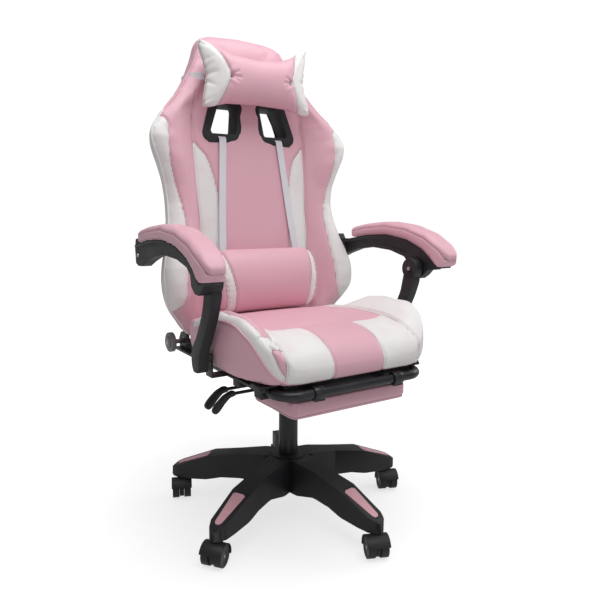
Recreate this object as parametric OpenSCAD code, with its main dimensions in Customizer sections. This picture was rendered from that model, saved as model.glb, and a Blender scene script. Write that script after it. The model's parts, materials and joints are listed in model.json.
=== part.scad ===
/* [Base and casters] */
// Radius of the star base, centre to caster stem
stem_r = 305; // [290:1:320]
// Diameter of each caster wheel
wheel_d = 50; // [46:1:54]
// Thickness of one caster wheel
wheel_t = 18; // [16:1:19]
// Distance from caster stem to caster axle
caster_trail = 20; // [16:1:24]
// Diameter of the caster stem
stem_d = 11; // [10:1:12]
// Diameter of the caster axle
axle_d = 8; // [6:1:10]
// Width of a base leg at the hub
leg_w_hub = 62; // [56:1:66]
// Width of a base leg at its tip
leg_w_tip = 44; // [40:1:50]
// Wall of a base leg
leg_wall = 4; // [3:0.5:6]

/* [Gas lift] */
// Outer diameter of the column tube
column_d = 50; // [46:1:54]
// Wall of the column tube
column_wall = 2; // [1.5:0.5:3]
// Height of the column tube's top above the floor
column_top = 300; // [285:1:305]
// Outer diameter of the gas cylinder
gas_d = 28; // [26:1:30]
// Diameter of the piston rod
rod_d = 8; // [6:1:10]

/* [Mechanism] */
// Width of the mechanism housing
mech_w = 124; // [110:1:140]
// Diameter of the tilt pin
tilt_pin_d = 12; // [10:1:14]
// Diameter of the lever rods
lever_rod_d = 8; // [6:1:9]
// Diameter of the tension knob
knob_d = 42; // [36:1:44]

/* [Seat] */
// Overall width of the seat cushion
seat_w = 514; // [500:2:516]
// Height of the seat's middle above the floor
seat_h = 520; // [505:1:535]
// Distance from column axis to the cushion's front
seat_front = 296; // [280:1:310]
// Height of the side bolsters over the seat's middle
bolster_h = 46; // [30:1:60]
// Width of the flat side rails
rail_w = 20; // [16:1:24]
// Thickness of the flat side rails
rail_t = 6; // [5:1:8]

/* [Back] */
// Length of the back along its own slope
back_len = 814; // [760:1:860]
// Lean of the back at rest, in degrees
lean = 8.2; // [6:0.1:10]
// Thickness of the back behind its front face
back_t = 111; // [100:1:120]
// Half width of the back at the shoulders
shoulder_x = 298; // [285:1:298]
// Half width of the back at the waist
waist_x = 256; // [240:1:264]
// Half width of the back at the lower wings
wing_x = 294; // [280:1:294]
// How far the wings stand forward of the back's front face
wing_depth = 52; // [30:1:56]
// Diameter of the back's steel tube
frame_tube_d = 22; // [18:1:25]

/* [Armrests] */
// Width of an arm pad
arm_pad_w = 56; // [50:1:60]
// Distance from the chair's middle to an arm pad's inner edge
arm_inner_x = 297; // [296:0.5:300]
// Thickness of an arm beam
beam_t = 24; // [18:1:28]
// Thickness of a strut
strut_t = 32; // [26:1:32]
// Diameter of the armrest pins
arm_pin_d = 10; // [8:1:12]

/* [Footrest] */
// Diameter of the footrest's tube
foot_tube_d = 22; // [18:1:22]
// Half distance between the footrest tube's legs
foot_half = 195; // [185:1:195]
// Width of the footrest pad
foot_pad_w = 326; // [300:2:340]
// Depth of the footrest pad
foot_pad_len = 180; // [150:1:185]
// Thickness of the footrest pad
foot_pad_t = 40; // [30:1:44]

/* [Pillows] */
// Width of the headrest pillow over its ears
head_pillow_w = 324; // [290:2:340]
// Thickness of the headrest pillow
head_pillow_t = 84; // [70:1:90]
// Width of the lumbar pillow
lumbar_w = 302; // [270:2:310]
// Height of the lumbar pillow
lumbar_h = 170; // [150:1:172]
// Thickness of the lumbar pillow
lumbar_t = 82; // [60:1:86]

/* [Clearances] */
// Radial clearance of running pins and shafts
run = 0.05; // [0.02:0.01:0.1]
// Gap between seated pieces that don't move on each other
seat_gap = 0.2; // [0.1:0.1:0.4]
// Gap between pieces that pass each other
pass_gap = 0.5; // [0.4:0.1:1]
// Radial slack of the armrest hub pin in its bore
hub_slack = 4; // [3.5:0.1:5]

/* [Hidden] */
$fn = 48;
base_nodes = ["star_base", "leg_inserts", "column_tube", "column_bush"];
lift_nodes = ["piston_rod", "thrust_bearing", "gas_cylinder"];
mech_nodes = ["mech_housing", "tilt_pin", "tension_spring", "tension_knob",
    "height_lever", "tilt_lever", "mech_plate"];
seat_nodes = ["seat_frame", "seat_webbing", "seat_cushion", "recline_brackets",
    "recline_pins", "recliner_covers", "recline_lever", "strut_bolts"];
back_nodes = ["back_frame", "back_brackets", "back_pad", "back_cover", "window_trims",
    "headrest_pillow", "headrest_strap", "lumbar_pillow", "lumbar_straps", "arm_pins"];
arm_nodes = ["strut_l", "strut_r", "hub_pin_l", "hub_pin_r",
    "arm_beam_l", "arm_beam_r", "arm_pad_l", "arm_pad_r"];
foot_nodes = ["footrest_guides", "footrest_tube", "footrest_clamps",
    "footrest_board", "footrest_pad"];
hood_nodes = ["caster_hood_1", "caster_hood_2", "caster_hood_3", "caster_hood_4", "caster_hood_5"];
stem_nodes = ["caster_stem_1", "caster_stem_2", "caster_stem_3", "caster_stem_4", "caster_stem_5"];
wheel_nodes = ["caster_wheels_1", "caster_wheels_2", "caster_wheels_3",
    "caster_wheels_4", "caster_wheels_5"];

// Colours of the real finishes
pink = "#e8aebc";
white = "#f2f1ee";
black = "#232427";
steel = "#8d9094";
grey = "#8b8c8e";

// Base: five legs, the first one pointing just right of straight back
leg_count = 5;
leg_angles = [for (i = [0 : leg_count - 1]) -9 + i * 360 / leg_count];
trail_angles = [246, 240, 248, 218, 247];
wheel_r = wheel_d / 2;
hood_r = wheel_r + 4;
caster_web = 12;
stem_sink = 8;
leg_under = wheel_d + 6;
leg_tip_r = stem_r + 25;
hub_top = 150;
hub_r = column_d / 2 + 22;
knee_r = 213;
knee_z = 128;
tip_top = 88;
slope_end = leg_tip_r - 12;
slope_angle = atan((knee_z - tip_top) / (slope_end - knee_r));
insert_t = 2.5;
insert_sink = 1.2;
socket_len = tip_top - leg_under - 2;

// Gas lift: rod and cylinder turn on a thrust bearing at the tube's foot
column_foot = 62;
foot_t = 4;
bearing_h = 9;
rod_top = 224;
head_h = 10;
gas_foot = 152;
gas_wall = 2;
gas_top = 383;
bush_h = 58;

// Mechanism, measured from the tilt pin
tilt_y = -62;
tilt_z = 384;
mech_front = -86;
mech_rear = 108;
mech_low = 348;
mech_wall = 4;
plate_z = 400;
plate_t = 5;
plate_half = 96;
cross_z = 421;
flange_t = 5;
lever_z = 364;
lever_reach = 138;
height_y = -34;
lock_y = -74;
knob_y = -56;
knob_shaft_d = 8;

// Seat frame and cushion
rail_x = 205;
rail_z = cross_z - rail_t;
rail_front = -248;
rail_rear = 222;
cross_ys = [-225, -66, 94];
cross_w = 40;
cross_t = 5;
web_t = 2;
cushion_z = cross_z + cross_t + web_t + 0.3;
seat_rear = 122;
seat_half = seat_w / 2;
flat_half = 60;

// Recline hinge
hinge_y = 197;
hinge_z = 440;
bracket_t = 5;
seat_bracket_x = rail_x;
back_bracket_x = seat_bracket_x - pass_gap - bracket_t;
hinge_pin_d = 12;
cover_x = 236;
cover_t = 20;
cover_wall_t = 3;
cover_r = 62;

// Back, in its own frame: x across, t behind the hinge, u up the slope
front_t = -67;
split_t = front_t + 45;
rear_t = front_t + back_t;
wing_t = front_t - wing_depth;
cover_wall = 12;
tube_r = frame_tube_d / 2;
tube_t = split_t + 14;
tube_x = back_bracket_x - tube_r;
weld_bead = 0.6;
tube_gap = 0.5;
cross_tube_less = 4;
window_low = 542;
window_high = 621;
trim_wall = 3;
trim_rim = 5;
trim_proud = 2;
strap_w = 20;
strap_t = 1.6;

// Pillows on the back
pillow_gap = 3;
lumbar_u = 64;
head_u = 592;

// Armrest linkage pivots, in y and z
arm_back = [210, 671];
arm_hub = [-150, 641];
arm_seat = [-78, 454];
beam_x = arm_inner_x;
strut_x = beam_x - pass_gap - strut_t - 0.5;
outrig_t = 4;
outrig_x = strut_x - 1 - outrig_t;
hub_r_out = 27;
bolt_d = 12;

// Footrest
foot_z = 409;
foot_front = -290;
foot_bend = 45;
foot_rear = 110;
foot_r = foot_tube_d / 2;
guide_ys = [-228, -128];
guide_len = 30;
foot_pad_front = -273;
foot_pad_low = 347;
board_t = 6;
clamp_x = 110;
clamp_w = 26;

// ---------------------------------------------------------------- helpers

// Children once at each side of the chair
module both_sides() {
    children();
    mirror([1, 0, 0]) children();
}

// Children in the back's own frame
module on_back() {
    translate([0, hinge_y, hinge_z]) rotate([-lean, 0, 0]) children();
}

// Cylinder along X from x0 to x1 at y, z
module x_rod(x0, x1, y, z, d) {
    translate([x0, y, z]) rotate([0, 90, 0]) cylinder(d = d, h = x1 - x0);
}

// Outline in y, z extruded along X from x0 to x1
module x_slab(x0, x1, pts) {
    translate([x0, 0, 0]) rotate([90, 0, 90]) linear_extrude(x1 - x0) polygon(pts);
}

// Outline in x, z extruded along Y from y0 to y1
module y_slab(y0, y1, pts) {
    translate([0, y1, 0]) rotate([90, 0, 0]) linear_extrude(y1 - y0) polygon(pts);
}

// Both halves of an outline given for its +x side, from bottom to top
function mirrored(pts) = concat(pts, [for (i = [len(pts) - 1 : -1 : 0]) [-pts[i][0], pts[i][1]]]);

// Straight bar of diameter d from a to b
module bar(a, b, d) {
    v = b - a;
    len_xy = norm([v[0], v[1]]);
    translate(a) rotate([0, atan2(len_xy, v[2]), atan2(v[1], v[0])]) cylinder(d = d, h = norm(v));
}

// Bent bar of diameter d through a list of points, with a weld bead at each bend
module bent_bar(pts, d) {
    for (i = [0 : len(pts) - 2]) bar(pts[i], pts[i + 1], d);
    for (i = [1 : len(pts) - 1]) translate(pts[i]) sphere(d = d + weld_bead);
}

// ---------------------------------------------------------------- base

leg_profile = [[20, 60], [70, 60], [120, 72], [180, 70], [225, leg_under + 4], [stem_r - 30, leg_under],
    [leg_tip_r, leg_under], [leg_tip_r - 2, tip_top - 8], [slope_end, tip_top], [knee_r, knee_z],
    [130, 141], [70, hub_top - 2], [20, hub_top - 2]];

module leg_plan(inset) {
    half_hub = leg_w_hub / 2 - inset;
    half_tip = leg_w_tip / 2 - inset;
    polygon([[0, -half_hub], [60, -half_hub], [130, -23 + inset], [knee_r, -27 + inset],
        [stem_r, -half_tip], [leg_tip_r - 8, 8 - half_tip], [leg_tip_r - inset, 18 - half_tip],
        [leg_tip_r - inset, half_tip - 18], [leg_tip_r - 8, half_tip - 8], [stem_r, half_tip],
        [knee_r, 27 - inset], [130, 23 - inset], [60, half_hub], [0, half_hub]]);
}

module leg_body() {
    difference() {
        intersection() {
            rotate([90, 0, 0]) translate([0, 0, -40]) linear_extrude(80) polygon(leg_profile);
            linear_extrude(200) leg_plan(0);
        }
        // the hollow underside
        intersection() {
            rotate([90, 0, 0]) translate([0, 0, -40]) linear_extrude(80)
                polygon([[60, 40], [leg_tip_r - leg_wall - 4, 40], [leg_tip_r - leg_wall - 4, tip_top - 14],
                    [slope_end - 4, tip_top - leg_wall - 4], [knee_r, knee_z - leg_wall - 2],
                    [130, 141 - leg_wall - 2], [60, hub_top - 8]]);
            linear_extrude(200) leg_plan(leg_wall);
        }
        insert_shape(insert_t, seat_gap);
    }
    translate([stem_r, 0, leg_under]) cylinder(d = stem_d + 13, h = tip_top - leg_under - 2);
}

// A leg's insert, wide at the knee and narrow at the tip; grow widens the recess
module insert_shape(thick, grow) {
    half_knee = 17 + grow;
    half_tip = 9 + grow;
    run_len = (slope_end - knee_r) / cos(slope_angle);
    s0 = 9 - grow;
    s1 = run_len - 6 + grow;
    translate([knee_r, 0, knee_z]) rotate([0, slope_angle, 0]) translate([0, 0, -insert_sink - grow])
        linear_extrude(thick + grow) polygon([[s0 + 5, -half_knee], [s1 - 6, -half_tip], [s1, 5 - half_tip],
            [s1, half_tip - 5], [s1 - 6, half_tip], [s0 + 5, half_knee], [s0, half_knee - 6],
            [s0, 6 - half_knee]]);
}

module star_base() {
    color(black) difference() {
        union() {
            for (a = leg_angles) rotate(a) leg_body();
            translate([0, 0, 60]) cylinder(r = hub_r, h = hub_top - 60);
        }
        translate([0, 0, column_foot]) cylinder(d = column_d + 2 * run, h = 200);
        translate([0, 0, 50]) cylinder(d = column_d - 8, h = 20);
        for (a = leg_angles) rotate(a) translate([stem_r, 0, leg_under - 1])
            cylinder(d = stem_d + 2 * run, h = socket_len);
    }
}

module leg_inserts() {
    color(pink) for (a = leg_angles) rotate(a) insert_shape(insert_t, 0);
}

module column_tube() {
    color(black) translate([0, 0, column_foot]) difference() {
        cylinder(d = column_d, h = column_top - column_foot);
        translate([0, 0, foot_t]) cylinder(d = column_d - 2 * column_wall, h = 400);
        translate([0, 0, -1]) cylinder(d = rod_d + 2 * run, h = foot_t + 2);
    }
}

module column_bush() {
    color(steel) translate([0, 0, column_top - bush_h]) difference() {
        cylinder(d = column_d - 2 * column_wall - 2 * run, h = bush_h);
        translate([0, 0, -1]) cylinder(d = gas_d + 2 * run, h = bush_h + 2);
    }
}

module piston_rod() {
    color(steel) {
        translate([0, 0, column_foot - 2]) cylinder(d = rod_d, h = rod_top - column_foot + 2);
        translate([0, 0, rod_top - head_h]) cylinder(d = gas_d - 2 * gas_wall - 2 * run, h = head_h);
    }
}

module thrust_bearing() {
    color(steel) translate([0, 0, column_foot + foot_t + seat_gap]) difference() {
        cylinder(d = gas_d - 4, h = bearing_h);
        translate([0, 0, -1]) cylinder(d = rod_d + 2 * run, h = bearing_h + 2);
    }
}

module gas_cylinder() {
    color(black) difference() {
        translate([0, 0, gas_foot]) cylinder(d = gas_d, h = gas_top - gas_foot);
        translate([0, 0, gas_foot + 6]) cylinder(d = gas_d - 2 * gas_wall, h = gas_top - gas_foot - 16);
        translate([0, 0, gas_foot - 1]) cylinder(d = rod_d + 2 * run, h = 20);
    }
}

// ---------------------------------------------------------------- casters

module at_caster(k) {
    rotate(leg_angles[k]) translate([stem_r, 0, 0]) rotate(trail_angles[k] - leg_angles[k]) children();
}

module caster_hood(k) {
    total = 2 * wheel_t + caster_web + 4 * pass_gap + 4;
    color(black) at_caster(k) difference() {
        union() {
            // arched cover over both wheels
            translate([caster_trail, 0, wheel_r]) rotate([90, 0, 0]) difference() {
                cylinder(r = hood_r, h = total, center = true);
                cylinder(r = wheel_r + 1, h = total + 2, center = true);
                translate([-60, -110, -40]) cube([120, 104, 80]);
                translate([10, -60, -40]) cube([60, 70, 80]);
            }
            // middle web that carries the axle and the stem
            translate([caster_trail, 0, wheel_r]) rotate([90, 0, 0])
                cylinder(r = wheel_r - 3, h = caster_web, center = true);
            translate([0, -caster_web / 2, wheel_r - 14]) cube([caster_trail, caster_web, hood_r + 10]);
            translate([-2, 0, wheel_r + 8]) cylinder(d = stem_d + 6, h = hood_r - 9);
        }
        translate([0, 0, wheel_r - stem_sink]) cylinder(d = stem_d + 2 * run, h = 80);
        translate([caster_trail, 0, wheel_r]) rotate([90, 0, 0])
            cylinder(d = axle_d + 2 * run, h = 60, center = true);
        for (s = [-1, 1]) translate([caster_trail, s * (caster_web / 2 + pass_gap + wheel_t / 2), wheel_r])
            rotate([90, 0, 0]) cylinder(r = wheel_r + 1, h = wheel_t + 2 * pass_gap, center = true);
    }
}

module caster_stem(k) {
    color(steel) at_caster(k) {
        translate([0, 0, wheel_r - stem_sink]) cylinder(d = stem_d, h = leg_under + socket_len - wheel_r);
        translate([caster_trail, 0, wheel_r]) rotate([90, 0, 0])
            cylinder(d = axle_d, h = caster_web + 2 * wheel_t, center = true);
    }
}

module caster_wheels(k) {
    color(black) at_caster(k) for (s = [-1, 1])
        translate([caster_trail, s * (caster_web / 2 + pass_gap + wheel_t / 2), wheel_r]) rotate([90, 0, 0])
            difference() {
                cylinder(r = wheel_r, h = wheel_t, center = true);
                cylinder(d = axle_d + 2 * run, h = 40, center = true);
                translate([0, 0, -s * (wheel_t / 2 + 3)]) cylinder(r = wheel_r - 7, h = 8, center = true);
            }
}

// ---------------------------------------------------------------- mechanism

mech_profile = [[mech_front, mech_low], [mech_rear, mech_low], [mech_rear, 362], [tilt_y + 10, 395],
    [mech_front, 395]];

module mech_housing() {
    half = mech_w / 2;
    color(black) difference() {
        union() {
            difference() {
                x_slab(-half, half, mech_profile);
                x_slab(mech_wall - half, half - mech_wall, [[mech_front + 4, mech_low + 4],
                    [mech_rear - 4, mech_low + 4], [mech_rear - 4, 380], [mech_rear - 4, 420],
                    [mech_front + 4, 420]]);
            }
            translate([0, 0, mech_low]) cylinder(d = gas_d + 16, h = 28);
            translate([0, knob_y, mech_low]) cylinder(d = 18, h = 8);
        }
        translate([0, 0, mech_low - 1]) cylinder(d = gas_d + 2 * run, h = 60);
        translate([0, knob_y, mech_low - 1]) cylinder(d = knob_shaft_d + 2 * run, h = 20);
        x_rod(-half - 1, half + 1, tilt_y, tilt_z, tilt_pin_d + 2 * run);
        x_rod(-half - 1, 0, height_y, lever_z, lever_rod_d + 2 * run);
        x_rod(-half - 1, 0, lock_y, lever_z, lever_rod_d + 2 * run);
    }
}

module tilt_pin() {
    reach = mech_w / 2 + flange_t + pass_gap + 3;
    color(steel) x_rod(-reach, reach, tilt_y, tilt_z, tilt_pin_d);
}

module tension_spring() {
    coils = 4;
    color(steel) for (i = [0 : coils - 1]) translate([0, knob_y, mech_low + 11 + i * 4.2])
        rotate_extrude() translate([14, 0]) circle(d = 3);
}

module tension_knob() {
    color(black) translate([0, knob_y, 0]) {
        difference() {
            translate([0, 0, mech_low - 36]) cylinder(d = knob_d, h = 30);
            for (i = [0 : 11]) rotate(i * 30) translate([knob_d / 2 + 2, 0, mech_low - 40])
                cylinder(d = 7, h = 40, $fn = 24);
        }
        translate([0, 0, mech_low - 10]) cylinder(d = knob_shaft_d, h = 21);
    }
}

// A lever: rod out of the housing, then a drooping paddle, at the sitter's right
module lever(y, paddle_w) {
    rod_end = -(mech_w / 2 + lever_reach);
    z = lever_z;
    x_rod(rod_end, -mech_w / 2 + 10, y, z, lever_rod_d);
    translate([0, y, 0]) y_slab(-paddle_w / 2, paddle_w / 2, [[rod_end + 6, z - 7], [rod_end + 6, z + 8],
        [rod_end - 6, z + 11], [rod_end - 34, z - 2], [rod_end - 62, z - 24], [rod_end - 66, z - 34],
        [rod_end - 58, z - 38], [rod_end - 30, z - 20], [rod_end - 10, z - 8]]);
}

module height_lever() {
    color(black) lever(height_y, 24);
}

module tilt_lever() {
    color(black) lever(lock_y, 16);
}

module mech_plate() {
    half = mech_w / 2 + pass_gap;
    color(black) difference() {
        union() {
            translate([-plate_half, mech_front - 2, plate_z]) cube([2 * plate_half, 196, plate_t]);
            for (y = [cross_ys[1], cross_ys[2]]) both_sides()
                translate([plate_half - 34, y - 15, plate_z]) cube([34, 30, cross_z - plate_z]);
            both_sides() translate([half, tilt_y - 18, tilt_z - 12])
                cube([flange_t, 36, plate_z - tilt_z + 13]);
        }
        x_rod(-half - 20, half + 20, tilt_y, tilt_z, tilt_pin_d + 2 * run);
    }
}

// ---------------------------------------------------------------- seat

module seat_frame() {
    color(black) {
        both_sides() translate([rail_x, rail_front, rail_z]) cube([rail_w, rail_rear - rail_front, rail_t]);
        for (y = cross_ys) translate([-rail_x - rail_w, y - cross_w / 2, cross_z])
            cube([2 * (rail_x + rail_w), cross_w, cross_t]);
        // outriggers that carry the strut pivots, beside the cushion's edge
        both_sides() difference() {
            union() {
                translate([rail_x + rail_w - 1, arm_seat[0] - 16, rail_z])
                    cube([outrig_x + outrig_t - rail_x - rail_w + 1, 32, 5]);
                translate([outrig_x, arm_seat[0] - 16, rail_z])
                    cube([outrig_t, 32, arm_seat[1] - rail_z + 16]);
            }
            x_rod(outrig_x - 1, outrig_x + outrig_t + 1, arm_seat[0], arm_seat[1], bolt_d + 2 * run);
        }
    }
}

module seat_webbing() {
    belt_w = 50;
    color(black) for (i = [-2 : 2]) translate([i * 75 - belt_w / 2, cross_ys[0] - 15, cross_z + cross_t])
        cube([belt_w, cross_ys[2] - cross_ys[0] + 30, web_t]);
}

// Half of the cushion's cross-section, from the middle of its underside outwards
function cushion_section(h, top) = [[0, cushion_z], [rail_x + rail_w + 2, cushion_z],
    [h - 28, rail_z + rail_t + 4], [h - 12, rail_z + rail_t + 8], [h - 6, 452], [h - 3, 472], [h, 494],
    [h - 2, top + 14],
    [h - 9, top + bolster_h - 10], [h - 22, top + bolster_h], [h - 38, top + bolster_h - 4],
    [h - 66, top + 22], [h - 88, top + 8], [h - 130, top + 2], [flat_half, top], [0, top]];

module seat_cushion() {
    front = -seat_front;
    bolster_top = seat_h + bolster_h;
    color(pink) intersection() {
        y_slab(front, seat_rear, mirrored(cushion_section(seat_half, seat_h)));
        x_slab(-seat_half, seat_half, [[front + 6, cushion_z - 8], [seat_rear - 6, cushion_z - 8],
            [seat_rear, 470], [seat_rear - 4, 512], [50, 514], [20, seat_h + 15], [-40, seat_h + 40],
            [-100, bolster_top + 2], [-190, bolster_top], [-232, seat_h + 28], [-262, seat_h + 4],
            [front + 6, seat_h - 18], [front, seat_h - 44], [front, 440]]);
        translate([0, 0, 300]) linear_extrude(400) polygon(mirrored([[0, front], [158, front],
            [185, front + 6], [214, front + 24], [seat_half - 20, front + 58], [seat_half - 3, front + 108],
            [seat_half, front + 170], [seat_half, 20], [seat_half - 8, 40], [cover_x - 4, 46],
            [cover_x - 6, seat_rear - 10], [cover_x - 16, seat_rear], [0, seat_rear]]));
    }
}

module recline_brackets() {
    color(black) both_sides() difference() {
        x_slab(seat_bracket_x, seat_bracket_x + bracket_t, [[132, rail_z + rail_t + seat_gap],
            [rail_rear, rail_z + rail_t + seat_gap], [rail_rear + 4, 442], [hinge_y + 16, 462],
            [hinge_y - 16, 462], [140, 440]]);
        x_rod(seat_bracket_x - 1, seat_bracket_x + bracket_t + 1, hinge_y, hinge_z, hinge_pin_d + 2 * run);
    }
}

module recline_pins() {
    color(steel) both_sides() x_rod(back_bracket_x - 5, cover_x + cover_t, hinge_y, hinge_z, hinge_pin_d);
}

// Outline of a recliner cover: a disc round the hinge and a lobe ahead of it
module cover_shape(inset, x0, x1) {
    x_rod(x0, x1, hinge_y, hinge_z, 2 * (cover_r - inset));
    x_slab(x0, x1, [[54 + inset, 430 + inset], [52 + inset, 508], [58 + inset, 538 - inset],
        [70 + inset, 550 - inset], [84 - inset, 549 - inset], [104 - inset, 522 - inset],
        [140, 506 - inset], [hinge_y, hinge_z + cover_r - inset], [hinge_y, 430 + inset]]);
}

module recliner_covers() {
    color(grey) both_sides() difference() {
        cover_shape(0, cover_x, cover_x + cover_t);
        cover_shape(cover_wall_t, cover_x - 1, cover_x + cover_t - cover_wall_t);
        x_rod(cover_x, cover_x + cover_t + 1, hinge_y, hinge_z, hinge_pin_d + 2 * run);
    }
}

module recline_lever() {
    color(black) {
        x_rod(cover_x + cover_t + pass_gap, cover_x + cover_t + 10, hinge_y - 40, hinge_z + 5, 26);
        x_slab(cover_x + cover_t + pass_gap, cover_x + cover_t + 10, [[hinge_y - 50, hinge_z - 4],
            [hinge_y - 52, hinge_z + 14], [hinge_y - 130, hinge_z + 6], [hinge_y - 140, hinge_z - 4],
            [hinge_y - 132, hinge_z - 12]]);
    }
}

module strut_bolts() {
    y = arm_seat[0];
    z = arm_seat[1];
    color(steel) both_sides() {
        x_rod(outrig_x, strut_x + strut_t - 6, y, z, bolt_d);
    }
}

// ---------------------------------------------------------------- back

// Half of the back's outline, from its bottom middle up; inset shrinks it
function back_half(inset) = [[0, 6 + inset], [176 - inset, 6 + inset], [190 - inset, 16 + inset],
    [198 - inset, 32 + inset], [226 - inset, 68], [250 - inset, 96], [266 - inset, 116],
    [wing_x - 8 - inset, 136], [wing_x - inset, 153], [wing_x - 1 - inset, 176], [wing_x - 8 - inset, 204],
    [272 - inset, 250], [260 - inset, 305], [waist_x - inset, 360], [262 - inset, 412],
    [280 - inset, 462], [shoulder_x - 4 - inset, 495], [shoulder_x - inset, 515],
    [shoulder_x - 4 - inset, 535], [276 - inset, 562], [256 - inset, 585], [212 - inset, 632],
    [172 - inset, 688], [144 - inset, 732], [134 - inset, 760], [130 - inset, back_len - 34],
    [118 - inset, back_len - 14 - inset], [92 - inset, back_len - 3 - inset], [0, back_len - inset]];

// Window hole on the +x side; grow widens it
function window_pts(grow) = [[46 - grow, window_low - grow], [114 + grow, window_low - grow],
    [117 + grow, window_low + 8], [92 + grow, window_high - 6], [86 + grow, window_high + grow],
    [36 - grow, window_high + grow], [34 - grow, window_high - 8], [43 - grow, window_low + 6]];

// Face flange of a window trim
function flange_pts() = [[40, 518], [124, 518], [138, 530], [141, 544], [114, 630], [106, 640],
    [22, 640], [13, 632], [15, 610], [32, 530]];

module back_blank(inset, t0, t1) {
    y_slab(t0, t1, mirrored(back_half(inset)));
}

module window_holes(grow) {
    both_sides() y_slab(wing_t - 20, rear_t + 20, window_pts(grow));
}

// Slots at the foot for the hinge brackets
module bracket_slots() {
    both_sides() translate([back_bracket_x - seat_gap, tube_t - 26, -20])
        cube([40, 60, 100]);
}

// Holes for the armrest pins in what they pass through
module arm_pin_holes() {
    both_sides() x_rod(tube_x, shoulder_x, arm_back[0], arm_back[1], arm_pin_d + 2 * seat_gap);
}

module back_pad() {
    color(pink) difference() {
        back_pad_solid();
        arm_pin_holes();
    }
}

module back_pad_solid() {
    on_back() difference() {
        intersection() {
            back_blank(0, wing_t - 2, split_t - seat_gap);
            // cross-section: flat middle, wings standing forward
            translate([0, 0, -10]) linear_extrude(back_len + 20) polygon(mirrored([[0, split_t],
                [shoulder_x + 1, split_t], [shoulder_x + 1, wing_t + 12], [shoulder_x - 10, wing_t + 1],
                [shoulder_x - 32, wing_t + 3], [shoulder_x - 62, wing_t + 18],
                [shoulder_x - 100, front_t - 16], [166, front_t - 3], [147, front_t], [0, front_t]]));
            // side profile: wings deepest at the shoulder and beside the hips
            x_slab(-shoulder_x - 1, shoulder_x + 1, [[split_t, 0], [front_t + 8, 0], [front_t, 14],
                [front_t - 18, 70], [wing_t + 6, 115], [wing_t, 150], [wing_t + 2, 190], [front_t - 30, 260],
                [front_t - 8, 350], [front_t - 12, 400], [wing_t + 8, 470], [wing_t, 512],
                [wing_t + 12, 575], [front_t - 26, 660], [front_t - 12, 730], [front_t - 6, back_len - 40],
                [front_t + 8, back_len - 10], [front_t + 20, back_len], [split_t, back_len]]);
        }
        window_holes(trim_wall + seat_gap);
        bracket_slots();
        back_tubes(frame_tube_d + 2 * tube_gap);
    }
}

module back_cover() {
    color(pink) difference() {
        back_cover_solid();
        arm_pin_holes();
    }
}

module back_cover_solid() {
    on_back() difference() {
        intersection() {
            back_blank(0, split_t, rear_t);
            x_slab(-400, 400, [[split_t, 0], [rear_t - 22, 0], [rear_t - 6, 30], [rear_t, 70],
                [rear_t, 480], [rear_t - 16, 640], [rear_t - 32, back_len - 20],
                [rear_t - 44, back_len], [split_t, back_len]]);
        }
        // pocket for the steel frame, with walls left around the windows
        difference() {
            intersection() {
                back_blank(cover_wall, split_t - 1, rear_t - cover_wall);
                x_slab(-400, 400, [[split_t - 1, 0], [rear_t - 36, 20], [rear_t - 14, 70],
                    [rear_t - 14, 480], [rear_t - 30, 640], [rear_t - 46, back_len - 20],
                    [split_t - 1, back_len - 6]]);
            }
            window_holes(trim_wall + seat_gap + 3);
        }
        window_holes(trim_wall + seat_gap);
        bracket_slots();
        back_tubes(frame_tube_d + 2 * tube_gap);
    }
}

// Steel loop of the back with its two cross tubes
module back_tubes(d) {
    half_loop = [[tube_x, tube_t, 26], [tube_x, tube_t, 400], [156, tube_t, 520], [142, tube_t, 620],
        [104, tube_t, 712], [96, tube_t, 762]];
    both_sides() bent_bar(half_loop, d);
    bar([-96, tube_t, 762], [96, tube_t, 762], d);
    bar([-tube_x, tube_t, 60], [tube_x, tube_t, 60], d - cross_tube_less);
    bar([-162, tube_t, 492], [162, tube_t, 492], d - cross_tube_less);
}

module back_frame() {
    color(black) on_back() back_tubes(frame_tube_d);
}

module back_brackets() {
    color(black) both_sides() difference() {
        on_back() x_slab(back_bracket_x, back_bracket_x + bracket_t, [[-16, -16], [16, -16], [22, 0],
            [tube_t + 12, 40], [tube_t + 12, 76], [tube_t - 12, 76], [tube_t - 12, 40], [-20, 0]]);
        x_rod(back_bracket_x - 1, back_bracket_x + bracket_t + 1, hinge_y, hinge_z, hinge_pin_d + 2 * run);
    }
}

module window_trims() {
    face = front_t;
    color(black) on_back() both_sides() difference() {
        union() {
            y_slab(face - trim_rim, face, flange_pts());
            y_slab(face, rear_t + trim_proud, window_pts(trim_wall));
        }
        y_slab(wing_t, rear_t + 10, window_pts(0));
    }
}

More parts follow.
